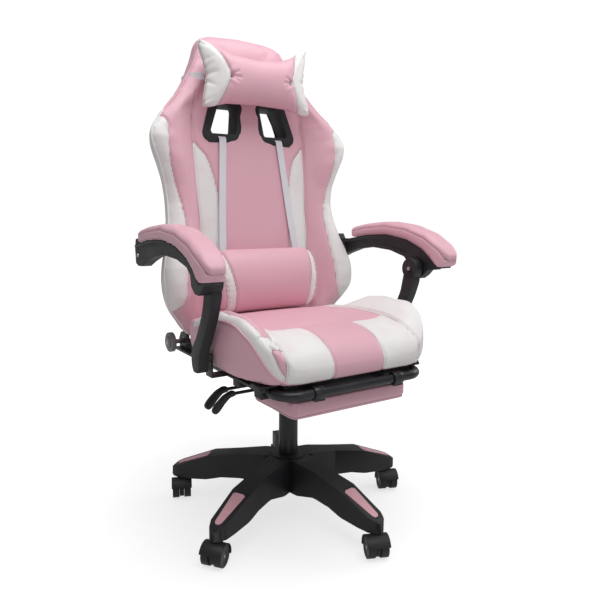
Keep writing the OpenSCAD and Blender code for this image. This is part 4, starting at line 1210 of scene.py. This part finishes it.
@dataclass
class HeadPillow(PieceOfBack):
    """The headrest pillow: four pointed ears, white ends sewn to a chevron."""

    low: float = 0.592
    middle: float = -0.124
    thick: float = 0.037
    outline: Sequence[Pair] = tuple(mm((0, 18), (90, 14), (132, 2), (152, -1), (160, 6), (150, 50), (146, 84),
                                       (152, 125),
                                       (162, 162), (158, 172), (146, 171), (110, 154), (70, 141), (0, 136)))
    chevron: Sequence[Pair] = tuple(mm((124, -20), (120, 4), (90, 76), (118, 154), (124, 190)))

    def blank(self, bm: bmesh.types.BMesh) -> None:
        """Adds a thin slab of the pillow's outline."""
        outline = rounded(mirrored([(x, u + self.low) for x, u in self.outline]), 0.008, 3)
        outline_slab(bm, outline, self.middle - 0.014, self.middle + 0.014, frame_of(Plane.FRONT, self.base))

    def shaped(self, co: np.ndarray) -> np.ndarray:
        """Stuffs the middle and bends the ends back."""
        p = self.local(co)
        x, v = p[:, 0], p[:, 2] - self.low
        whole = mirrored([(a, b) for a, b in self.outline])
        depth = np.clip(-signed_distance(np.column_stack([x, v]), whole), 0, 1)
        fat = self.thick * (1 - (1 - np.clip(depth / 0.062, 0, 1)) ** 2.4) ** 0.62
        fat *= 1 - 0.5 * ease(np.abs(x), 0.075, 0.15)
        side = np.clip((p[:, 1] - self.middle) / 0.014, -1, 1)
        bend = -0.006 * ease(x, 0.09, 0.165) + 0.006 * ease(-x, 0.09, 0.165)
        p[:, 1] = self.middle + bend + side * (fat + 0.0035)
        p[:, 2] += 0.013 * ease(x, 0.10, 0.165) * ease(v, 0.09, 0.165)
        return transformed(p, self.base)

    def held(self, co: np.ndarray) -> np.ndarray:
        """Holds the chevron seams and the rear."""
        p = self.local(co)
        gap, _ = line_distance(self.face_on(p, self.low), self.chevron)
        return (gap < 0.004) | (p[:, 1] > self.middle + 0.022)

    def sewn(self, co: np.ndarray, out: np.ndarray) -> Stitching:
        """Gives the white ends, the chevron seams and their puckers."""
        p = self.local(co)
        flat = self.face_on(p, self.low)
        gap, run = line_distance(flat, self.chevron)
        white = signed_distance(flat, [*self.chevron, (0.25, 0.19), (0.25, -0.02)])
        front = p[:, 1] < self.middle + 0.02
        folds = creases(
            ((90, 76), (60, 72), 0.0075, 0.0042), ((90, 79), (66, 90), 0.0055, 0.0038),
            ((90, 73), (68, 60), 0.005, 0.0038), ((96, 96), (78, 108), 0.0014, 0.005),
            ((96, 58), (80, 44), 0.0014, 0.005), ((150, 82), (118, 88), 0.0045, 0.006),
            ((152, 96), (128, 112), 0.003, 0.005), ((150, 66), (126, 50), 0.003, 0.005),
            ((156, 12), (128, 26), 0.0035, 0.005), ((150, 4), (124, 10), 0.0025, 0.004),
            ((160, 164), (134, 146), 0.0035, 0.005), ((148, 118), (124, 126), 0.002, 0.005),
        )
        dip = sum(c.dip(flat) for c in folds) * np.where(front, 1.0, 0.3)
        edge = [(self.middle + 0.004, 0), (self.middle + 0.0041, 0)]
        rim, _ = line_distance(np.column_stack([p[:, 1], p[:, 2] * 0]), edge)
        sharp = np.abs(self.facing(out)) < 0.75
        gap = np.where(sharp & (rim < gap), rim, gap)
        return Stitching(white, gap, run, dip)


@dataclass
class LumbarPillow(PieceOfBack):
    """The lumbar pillow: a boxy roll with a curved white band near each end."""

    half: float = 0.151
    front: float = -0.150
    rear: float = -0.071
    low: float = 0.064
    profile: Sequence[Pair] = tuple(mm((-104, 0), (-82, 8), (-71, 32), (-71, 130), (-82, 158), (-100, 170), (-118, 165),
                                       (-140, 134), (-150, 98), (-150, 70), (-142, 34), (-122, 8)))
    seam: Sequence[Pair] = tuple(mm((136, 190), (133, 160), (124, 110), (114, 60), (109, -10)))
    outer: Sequence[Pair] = tuple(mm((160, 190), (157, 160), (149, 110), (139, 60), (132, -10)))

    def blank(self, bm: bmesh.types.BMesh) -> None:
        """Adds the roll's side profile pushed out across the chair."""
        place = self.base @ frame_of(Plane.SIDE)
        outline_slab(bm, rounded([(t, u + self.low) for t, u in self.profile], 0.016, 3), -self.half, self.half, place)

    def shaped(self, co: np.ndarray) -> np.ndarray:
        """Draws the ends in towards a rounded face."""
        p = self.local(co)
        a = np.clip((np.abs(p[:, 0]) - 0.098) / (self.half - 0.098), 0, 1)
        close = (1 - a**2.6) ** 0.42 * 0.62 + 0.38
        centre_t, centre_u = -0.106, self.low + 0.086
        p[:, 1] = centre_t + (p[:, 1] - centre_t) * close
        p[:, 2] = centre_u + (p[:, 2] - centre_u) * (close * 0.7 + 0.3)
        return transformed(p, self.base)

    def held(self, co: np.ndarray) -> np.ndarray:
        """Holds the band seams and the rear."""
        p = self.local(co)
        gap, _ = line_distance(self.face_on(p, self.low), self.seam)
        return (gap < 0.004) | (p[:, 1] > -0.084)

    def sewn(self, co: np.ndarray, out: np.ndarray) -> Stitching:
        """Gives the white bands, their seams and wrinkles."""
        p = self.local(co)
        flat = self.face_on(p, self.low)
        gap, run = nearest_seam(flat, [self.seam, self.outer])
        white = signed_distance(flat, [*self.seam, *reversed(self.outer)])
        dip = np.zeros(len(co))
        for k in range(11):
            v = 0.012 + 0.0145 * k
            x = table_at(v, flipped(self.outer))
            tilt = 0.004 * math.sin(k * 2.3)
            dip += Crease([(x, v), (x - 0.017, v + tilt)], 0.0022, 0.0032).dip(flat)
            dip += Crease([(x - 0.001, v + 0.006), (x + 0.014, v + 0.006 - tilt)], 0.0016, 0.003).dip(flat)
        return Stitching(white, gap, run, dip)


@dataclass
class ArmPad(Padded):
    """An arched armrest pad with a stitched line below its top edge."""

    side: Side = Side.LEFT
    inner: float = 0.297
    outer: float = 0.353
    under: Sequence[Pair] = tuple(mm((-222, 650), (-206, 666), (-170, 692), (-110, 714), (-27, 724), (60, 718),
                                     (112, 709)))
    over: Sequence[Pair] = tuple(mm((126, 711), (128, 730), (119, 739), (60, 750), (-27, 758), (-110, 751), (-180, 732),
                                    (-232, 704), (-254, 680), (-250, 662), (-234, 650)))

    def blank(self, bm: bmesh.types.BMesh) -> None:
        """Adds the pad's profile, wider ahead of the back's wings."""
        profile = rounded([*self.under, *self.over], 0.007, 2)
        s, place = self.side.value, frame_of(Plane.SIDE)
        low, high = sorted((s * (self.inner - 0.006), s * (self.outer - 0.001)))
        outline_slab(bm, profile, low, high, place)

    def shaped(self, co: np.ndarray) -> np.ndarray:
        """Rounds the pad's front in plan and crowns its top."""
        out = co.copy()
        middle = self.side.value * 0.3215
        top = table(co[:, 1], sorted((y, z) for y, z in self.over[2:8]))
        bottom = table(co[:, 1], sorted(self.under))
        share = np.clip((co[:, 2] - bottom) / np.maximum(top - bottom, 0.01), 0, 1)
        nose = np.clip((-0.214 - co[:, 1]) / 0.038, 0, 1)
        narrow = 1 - np.sqrt(1 - (0.9 * nose) ** 2)
        crown = 0.28 * np.clip((share - 0.55) / 0.45, 0, 1) ** 2.5
        narrow += crown + np.clip((co[:, 1] - 0.108) / 0.02, 0, 1) ** 2 * 0.15
        out[:, 0] = middle + (co[:, 0] - middle) * (1 - np.clip(narrow, 0, 0.8))
        return out

    def held(self, co: np.ndarray) -> np.ndarray:
        """Holds the underside."""
        return co[:, 2] < table(co[:, 1], sorted(self.under)) + 0.006

    def sewn(self, co: np.ndarray, out: np.ndarray) -> Stitching:
        """Gives the stitched line round the pad's sides."""
        flat = co[:, 1:]
        line = [(y * 0.985, z - 0.0125) for y, z in self.over[1:9]] + [(-0.243, 0.672)]
        gap, run = line_distance(flat, line)
        side = (np.abs(out[:, 0]) > 0.35) | (co[:, 1] < -0.215)
        under_gap, under_run = line_distance(flat, [(y, z + 0.003) for y, z in self.under])
        gap = np.where(side, np.minimum(gap, under_gap), NO_SEAM)
        run = np.where(gap == under_gap, under_run, run)
        return Stitching(np.full(len(co), NO_SEAM), gap, run, np.zeros(len(co)))


@dataclass
class FootPad(Padded):
    """The footrest's pad, sewn at its corners and round its edge."""

    half: float = 0.163
    front: float = -0.273
    back: float = -0.093
    low: float = 0.347
    high: float = 0.387

    def blank(self, bm: bmesh.types.BMesh) -> None:
        """Adds the pad's plan outline pushed up to the board."""
        w, f, b = self.half - 0.001, self.front + 0.001, self.back - 0.001
        plan = rounded([(-w, f), (w, f), (w, b), (-w, b)], 0.016, 4)
        outline_slab(bm, plan, self.low + 0.002, self.high, frame_of(Plane.FLOOR))

    def shaped(self, co: np.ndarray) -> np.ndarray:
        """Crowns the soft face, which looks down while the footrest is stowed."""
        out = co.copy()
        share = np.clip((self.high - co[:, 2]) / (self.high - self.low), 0, 1)
        inside = (1 - (co[:, 0] / self.half) ** 4) * (1 - ((co[:, 1] + 0.183) / 0.09) ** 4)
        out[:, 2] -= 0.004 * share * np.clip(inside, 0, 1)
        pull = 1 - 0.018 * np.clip(share - 0.75, 0, 1) * 4
        out[:, 0] *= pull
        return out

    def held(self, co: np.ndarray) -> np.ndarray:
        """Holds the edge along the board and the four corners."""
        corner = (np.abs(co[:, 0]) > self.half - 0.012) & (np.abs(co[:, 1] + 0.183) > 0.078)
        return (co[:, 2] > self.high - 0.008) | corner

    def sewn(self, co: np.ndarray, out: np.ndarray) -> Stitching:
        """Gives the corner seams and the seam round the soft face."""
        x, y, z = np.abs(co[:, 0]), co[:, 1], co[:, 2]
        side = np.abs(out[:, 2]) < 0.7
        spread = np.column_stack([x, y])
        ends = [
            line_distance(spread, [(self.half - 0.008, end), (self.half - 0.0081, end)])[0]
            for end in (self.front + 0.002, self.back - 0.002)
        ]
        corner = np.minimum(*ends)
        rim = np.abs(z - (self.low + 0.007))
        gap = np.where(side, np.minimum(corner, rim), NO_SEAM)
        run = np.where(rim < corner, x + y, z)
        return Stitching(np.full(len(co), NO_SEAM), gap, run, np.zeros(len(co)))


# ---------------------------------------------------------------- hard parts


@dataclass(frozen=True)
class HardPart:
    """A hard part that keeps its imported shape, with rounded edges and its real finish."""

    node: str
    edge: float = 0.0008
    segments: int = 2
    finish: Finish | None = None

    def reshape(self, bm: bmesh.types.BMesh) -> None:
        """Changes the copied shape before its edges are rounded."""

    def make(self, frame: dict) -> Thing:
        """Builds the part.


        Returns:
            The part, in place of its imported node.
        """
        source = frame["nodes"][self.node]
        bm = bmesh.new()
        bm.from_mesh(source.data)
        bmesh.ops.remove_doubles(bm, verts=bm.verts, dist=1e-5)
        bmesh.ops.dissolve_limit(bm, angle_limit=0.008, verts=bm.verts, edges=bm.edges)
        self.reshape(bm)
        soften(bm, self.edge, self.segments, 0.42)
        slot = source.data.materials[0].name
        obj = thing(self.node + "_part", bm, PART_CREASE)
        return Piece(obj, source["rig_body"], self.finish or Finish[slot.upper()], slot, [self.node]).place()


@dataclass(frozen=True)
class WindowTrims(HardPart):
    """The moulded rims of the two windows, cut down to the thin middle of the back."""

    base: Matrix = field(default_factory=Matrix)
    rear: float = -0.019

    def reshape(self, bm: bmesh.types.BMesh) -> None:
        """Brings the rear ends of the rims forward."""
        for vert in bm.verts:
            local = self.base.inverted() @ vert.co
            local.y = min(local.y, self.rear)
            vert.co = self.base @ local


@dataclass
class Assembly:
    """A sub-assembly of the chair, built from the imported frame."""

    frame: dict

    def hard(self, *nodes: str, edge: float = 0.0008, segments: int = 2, finish: Finish | None = None) -> None:
        """Makes several hard parts with the same edges."""
        for node in nodes:
            HardPart(node, edge, segments, finish).make(self.frame)

    def finished(self, *nodes: str) -> None:
        """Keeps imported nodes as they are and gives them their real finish."""
        for node in nodes:
            source = self.frame["nodes"][node]
            for place in source.material_slots:
                finish = Finish[place.material.name.upper()]
                place.link = "OBJECT"
                place.material = finish.get()
            log.info("%s keeps its shape", node)


@dataclass(frozen=True)
class Strut:
    """The slanting strut under an armrest, with its round hub."""

    side: Side
    inner: float = 0.2705
    outer: float = 0.2950
    hub: Pair = (-0.150, 0.641)
    outline: Sequence[Pair] = tuple(mm(
        (-94, 430), (-66, 427), (-57, 440), (-54, 462), (-60, 484), (-84, 512), (-104, 545), (-120, 580),
        (-127, 612), (-132, 634), (-166, 640), (-168, 610), (-154, 572), (-137, 538), (-116, 503),
        (-100, 476), (-97, 450)))

    def make(self) -> Thing:
        """Builds the strut."""
        s, tag, name = self.side.value, self.side.name[0].lower(), self.side.name.lower()
        bm = bmesh.new()
        low, high = sorted((s * self.inner, s * self.outer))
        outline_slab(bm, rounded(self.outline, 0.008, 3), low, high, frame_of(Plane.SIDE))
        soften(bm, 0.004, 3)
        for radius, depth, sink in ((0.027, 0.0, 0.0), (0.0195, -0.0012, 0.004)):
            disc = bmesh.new()
            start, end = (s * (self.inner + sink), *self.hub), (s * (self.outer - depth), *self.hub)
            rod(disc, start, end, radius, segments=ROUND)
            soften(disc, 0.0025 if depth == 0 else 0.001, 3)
            absorb(bm, disc)
        obj = thing(f"strut_{tag}_part", bm, PART_CREASE)
        return Piece(obj, f"strut_{name}", Finish.BLACK_PLASTIC, "black_plastic", [f"strut_{tag}"]).place()


@dataclass(frozen=True)
class PaddleLever:
    """A thin rod that ends in a drooping moulded paddle."""

    node: str
    y: float
    z: float
    width: float
    start: float = -0.100
    end: float = -0.200
    paddle: Sequence[Pair] = tuple(mm((6, -5), (6, 6), (-6, 8), (-26, -1), (-44, -17), (-54, -30), (-53, -39),
                                      (-45, -42), (-36, -36), (-24, -21), (-9, -7)))

    def make(self) -> Thing:
        """Builds the lever."""
        bm = bmesh.new()
        outline = rounded([(self.end + a, self.z + b) for a, b in self.paddle], 0.006, 3)
        outline_slab(bm, outline, self.y - self.width / 2, self.y + self.width / 2, frame_of(Plane.FRONT))
        soften(bm, 0.003, 3)
        bar = bmesh.new()
        rod(bar, (self.start, self.y, self.z), (self.end, self.y, self.z), 0.004)
        soften(bar, 0.0005, 2)
        absorb(bm, bar)
        obj = thing(f"{self.node}_part", bm, PART_CREASE)
        return Piece(obj, self.node, Finish.BLACK_PLASTIC, "black_plastic", [self.node]).place()


@dataclass(frozen=True)
class RecliningCover:
    """The two round covers over the recline hinges, black plastic coloured grey as a painted highlight."""

    hinge: Vector
    radius: float = 0.026
    inner: float = 0.238
    outer: float = 0.2555

    def make(self) -> Thing:
        """Builds both covers."""
        bm = bmesh.new()
        for side in Side:
            s = side.value
            for radius, reach in ((self.radius, self.outer - 0.004), (self.radius * 0.66, self.outer)):
                centre = self.hinge.yz
                rod(bm, (s * self.inner, *centre), (s * reach, *centre), radius, segments=ROUND)
        soften(bm, 0.0022, 3)
        obj = thing("recliner_covers_part", bm, PART_CREASE)
        # The grey finish is a painted highlight on black plastic.
        return Piece(obj, "seat", Finish.GREY_PLASTIC, "grey_plastic", ["recliner_covers"]).place()


@dataclass
class StarBase(Assembly):
    """The five-legged base, its pink inserts and its casters."""

    edge: float = 0.0022

    def make(self) -> None:
        """Builds the base."""
        self.hard("star_base", edge=self.edge, segments=3)
        self.hard("leg_inserts", edge=0.0007)
        for k in range(1, 6):
            self.hard(f"caster_hood_{k}", edge=0.0012)
            self.hard(f"caster_stem_{k}", edge=0.0004)
            self.hard(f"caster_wheels_{k}", edge=0.0016, segments=3, finish=Finish.SMOOTH_BLACK)


@dataclass
class LiftAndMechanism(Assembly):
    """The gas lift, the tilt mechanism and its two levers and knob."""

    lever_height: float = 0.364

    def make(self) -> None:
        """Builds the lift."""
        self.hard("column_tube", "tension_knob", finish=Finish.SMOOTH_BLACK)
        self.hard("gas_cylinder", "mech_housing", "mech_plate", edge=0.0012)
        self.hard("piston_rod", "thrust_bearing", "tilt_pin", edge=0.0004)
        self.finished("column_bush", "tension_spring")
        for node, width in (("height_lever", 0.015), ("tilt_lever", 0.012)):
            low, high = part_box(node)
            PaddleLever(node, (low.y + high.y) / 2, self.lever_height, width, start=high.x).make()


@dataclass
class Seat(Assembly):
    """The seat cushion, its frame and what is fixed to it."""

    def make(self) -> None:
        """Builds the seat."""
        cushion = SeatCushion("seat_cushion_cover", "seat", ["seat_cushion"], voxel=0.0065, cap=0.008, fill=0.9)
        tree = skin_of(cushion.make())
        for side, finish in ((Side.LEFT, Finish.WHITE_LEATHER), (Side.RIGHT, Finish.PINK_LEATHER)):
            trim = Trim(f"seat_welt_{side.name.lower()}", "seat", finish)
            trim.make(cushion.welt_path(side), WELT_RADIUS, tree, 0.0006)
        self.hard("seat_frame", "recline_brackets", "footrest_guides")
        self.rail()
        self.finished("seat_webbing")
        hinge = next(j for j in self.frame["joints"] if j["name"] == "recline")["pos_m"]
        RecliningCover(Vector(hinge)).make()
        self.hard("recline_pins", "strut_bolts", edge=0.0004)
        self.hard("recline_lever", edge=0.001)

    def rail(self) -> None:
        """Builds the folded steel lip under the cushion's front edge."""
        low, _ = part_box("seat_cushion")
        fold = mm((-262, 402), (-259, 402), (-259, 425), (-236, 425), (-236, 428), (-262, 428))
        bm = bmesh.new()
        outline_slab(bm, fold, -0.176, 0.176, frame_of(Plane.SIDE))
        soften(bm, 0.0008, 2)
        Piece(thing("seat_front_lip", bm, PART_CREASE), "seat", Finish.BLACK_PAINTED_STEEL,
              "black_painted_steel").place()
        log.info("the lip hangs from the cushion's underside at %.4f", low.z)


@dataclass
class Trim:
    """A sewn welt along an edge of a padded piece."""

    name: str
    body: str
    finish: Finish

    def make(self, path: Sequence[Vector], radius: float, skin: BVHTree | None = None, proud: float = 0.0,
             closed: bool = False) -> Thing:
        """Builds the welt along a path."""
        obj = welt(self.name, path, radius, closed, skin, proud)
        count = len(obj.data.vertices)
        for key, value in (("white_zone", NO_SEAM), ("seam_gap", NO_SEAM), ("seam_run", 0.0)):
            note(obj.data, key, np.full(count, value))
        slot = "white_leather" if self.finish is Finish.WHITE_LEATHER else "pink_leather"
        return Piece(obj, self.body, self.finish, slot).place()


@dataclass
class Strap:
    """A flat elastic strap along a path."""

    name: str
    body: str
    stands_for: Sequence[str]
    width: float
    rests_on: Sequence[str]

    def make(self, paths: Sequence[Sequence[Vector]], across: Vector, thick: float = 0.0016) -> Thing:
        runs = [ribbon(f"{self.name}_{i}", path, across, self.width, thick) for i, path in enumerate(paths)]
        bm = bmesh.new()
        for run in runs:
            bm.from_mesh(run.data)
            bpy.data.objects.remove(run)
        obj = Piece(thing(self.name, bm), self.body, Finish.WHITE_ELASTIC, "white_elastic", self.stands_for).place()
        return obj


@dataclass
class Backrest(Assembly):
    """The winged back, its trims, its two pillows and their straps."""

    def make(self) -> None:
        """Builds the back."""
        base = self.base()
        back = BackUpholstery("back_upholstery", "back", ["back_pad", "back_cover"], voxel=0.0072, cap=0.007,
                              fill=0.85, base=base)
        tree = skin_of(back.make())
        for side in Side:
            for level, finish, low, high in (
                ("low", Finish.WHITE_LEATHER, 0.02, back.band_top),
                ("high", Finish.PINK_LEATHER, back.band_top, 0.79),
            ):
                trim = Trim(f"back_welt_{level}_{side.name.lower()}", "back", finish)
                trim.make(back.edge_path(low, high, side), WELT_RADIUS, tree, 0.0005)
        HeadPillow("headrest_pillow_cover", "back", ["headrest_pillow"], voxel=0.0045, cap=0.004, fill=0.95,
                   base=base).make()
        LumbarPillow("lumbar_pillow_cover", "lumbar", ["lumbar_pillow"], voxel=0.0045, cap=0.005, fill=0.95,
                     base=base).make()
        WindowTrims("window_trims", 0.002, 3, base=base).make(self.frame)
        self.hard("back_frame", "back_brackets", edge=0.0006)
        self.hard("arm_pins", edge=0.0004)
        self.straps(base, tree)

    def base(self) -> Matrix:
        """Gives the back's own axes: across, behind the hinge line, and up the slope."""
        joints = {j["name"]: j for j in self.frame["joints"]}
        slope = joints["lumbar_height"]["axis"]
        lean = math.atan2(slope[1], slope[2])
        return Matrix.Translation(joints["recline"]["pos_m"]) @ Matrix.Rotation(-lean, 4, "X")

    def straps(self, base: Matrix, skin: BVHTree) -> None:
        """Builds the headrest's strap and the lumbar pillow's two straps."""
        half = [(0, 0.04), (0.04, 0.04), (0.08, 0.038), (0.12, 0.034), (0.15, 0.02), (0.175, 0.0), (0.185, -0.03),
                (0.187, -0.06), (0.18, -0.09), (0.168, -0.105), (0.155, -0.11), (0.142, -0.115), (0.13, -0.12)]
        loop = [(-x, t) for x, t in reversed(half)] + half[1:]
        path = laid_on([base @ Vector((x, t, 0.687)) for x, t in loop], skin, 0.0022)
        up = base.to_3x3() @ Vector((0, 0, 1))
        Strap("headrest_strap_band", "back", ["headrest_strap"], STRAP_WIDTH,
              ["back_upholstery"]).make([path], up)
        runs = []
        for side in Side:
            s = side.value
            runs.append([base @ Vector((s * x, t, u)) for x, t, u in (
                (0.113, -0.084, 0.2), (0.113, -0.084, 0.233), (0.106, -0.0795, 0.31), (0.098, -0.0785, 0.40),
                (0.089, -0.0785, 0.50), (0.087, -0.0775, 0.528), (0.087, -0.068, 0.539), (0.087, -0.04, 0.541))])
        across = base.to_3x3() @ Vector((1, 0, 0))
        band = Strap("lumbar_strap_bands", "back", ["lumbar_straps"], STRAP_WIDTH,
                     ["back_upholstery"]).make(runs, across)
        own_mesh(band)


@dataclass
class Armrests(Assembly):
    """The two linked armrests, which lie back as the chair reclines."""

    def make(self) -> None:
        """Builds both sides."""
        for side, tag in ((Side.LEFT, "l"), (Side.RIGHT, "r")):
            name = side.name.lower()
            ArmPad(f"arm_pad_{tag}_cover", f"arm_{name}", [f"arm_pad_{tag}"], voxel=0.004, cap=0.003, fill=0.9,
                   seam_depth=0.0009, seam_width=0.0024, side=side).make()
            self.hard(f"arm_beam_{tag}", edge=0.0025, segments=3)
            Strut(side).make()
            self.hard(f"hub_pin_{tag}", edge=0.0005)


@dataclass
class Footrest(Assembly):
    """The footrest that slides out and flips over."""

    def make(self) -> None:
        """Builds the footrest."""
        FootPad("footrest_pad_cover", "footrest_flap", ["footrest_pad"], voxel=0.0045, cap=0.005, fill=0.9).make()
        self.hard("footrest_board", "footrest_clamps", edge=0.001)
        self.hard("footrest_tube", edge=0.0004)


# ---------------------------------------------------------------- studio


@dataclass
class Studio:
    """The camera, the soft lights and the pale floor."""

    eye: tuple[float, float, float] = (-0.8275, -1.3109, 0.8029)
    heading: float = math.radians(33.3)
    dip: float = math.radians(8.9)
    roll: float = math.radians(0.5)
    lens: float = 36.67
    ambient: float = 0.27
    background_glow: float = 1.02
    ground: float = 0.42
    floor_glow: Pair = (0.70, 0.95)
    floor_bounce: float = 0.3

    def make(self) -> None:
        """Builds the studio."""
        self.camera()
        self.world()
        self.lights()
        self.floor()

    def camera(self) -> None:
        """Puts the camera at its place."""
        a, e, r = self.heading, self.dip, self.roll
        ahead = Vector((math.sin(a) * math.cos(e), math.cos(a) * math.cos(e), -math.sin(e)))
        level = Vector((math.cos(a), -math.sin(a), 0))
        up = level.cross(ahead)
        right = level * math.cos(r) + up * math.sin(r)
        up = up * math.cos(r) - level * math.sin(r)
        data = bpy.data.cameras.new("studio_camera")
        data.lens, data.sensor_width = self.lens, 36.0
        obj = linked("studio_camera", data)
        turn = Matrix((right, up, -ahead)).transposed().to_4x4()
        obj.matrix_world = Matrix.Translation(self.eye) @ turn
        bpy.context.scene.camera = obj

    def world(self) -> None:
        """Surrounds the chair with soft white, full white where it is looked at."""
        world = bpy.data.worlds.new("studio")
        world.use_nodes = True
        bpy.context.scene.world = world
        w = Wiring(world.node_tree)
        seen = w.add("ShaderNodeLightPath").outputs["Is Camera Ray"]
        background = world.node_tree.nodes["Background"]
        background.inputs["Color"].default_value = (1, 1, 1, 1)
        w.feed(background.inputs["Strength"], w.step(seen, 0.0, 1.0, self.ambient, self.background_glow))
        bpy.context.scene.view_settings.view_transform = "Standard"

    def lights(self) -> None:
        """Hangs the soft boxes."""
        for name, where, aim, size, power in (
            ("overhead", (-0.05, -0.5, 2.8), (0, 0, 0.5), 2.4, 50.0),
            ("front", (0.9, -3.0, 1.5), (0, 0, 0.6), 1.4, 4.0),
            ("right_side", (2.5, -0.2, 1.6), (0, 0, 0.7), 1.4, 13.0),
        ):
            data = bpy.data.lights.new(name, "AREA")
            data.size, data.energy = size, power
            turn = (Vector(aim) - Vector(where)).to_track_quat("-Z", "Y").to_matrix().to_4x4()
            linked(name, data).matrix_world = Matrix.Translation(where) @ turn

    def floor(self) -> None:
        """Lays a pale floor that fades into the background."""
        bm = bmesh.new()
        bmesh.ops.create_circle(bm, cap_ends=True, radius=9.0, segments=64)
        obj = thing("floor", bm)
        made, w, shader, place = start_material("pale_floor")
        mottle = w.noise(place, 3.0, 2.0)
        tone = tuple(self.ground * c for c in (0.985, 0.985, 0.985)) + (1.0,)
        plain = (self.ground,) * 3 + (1.0,)
        w.feed(shader.inputs["Base Color"], w.mix(w.math("MULTIPLY", mottle, 0.15), plain, tone))
        away = w.add("ShaderNodeVectorMath", operation="LENGTH")
        w.feed(away.inputs[0], place)
        shader.inputs["Emission Color"].default_value = (1, 1, 1, 1)
        seen = w.add("ShaderNodeLightPath").outputs["Is Camera Ray"]
        glow = w.step(away.outputs["Value"], 0.2, 1.2, *self.floor_glow)
        share = w.step(seen, 0.0, 1.0, self.floor_bounce, 1.0)
        w.feed(shader.inputs["Emission Strength"], w.math("MULTIPLY", glow, share))
        shader.inputs["Roughness"].default_value = 0.9
        shader.inputs["Specular IOR Level"].default_value = 0.1
        obj.data.materials.append(made)


def main() -> None:
    """Builds the whole chair and its studio."""
    logging.basicConfig(level=logging.INFO, format="%(name)s: %(message)s")
    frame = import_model()
    Studio().make()
    for part in (StarBase, LiftAndMechanism, Seat, Backrest, Armrests, Footrest):
        part(frame).make()


if __name__ == "__main__":
    main()
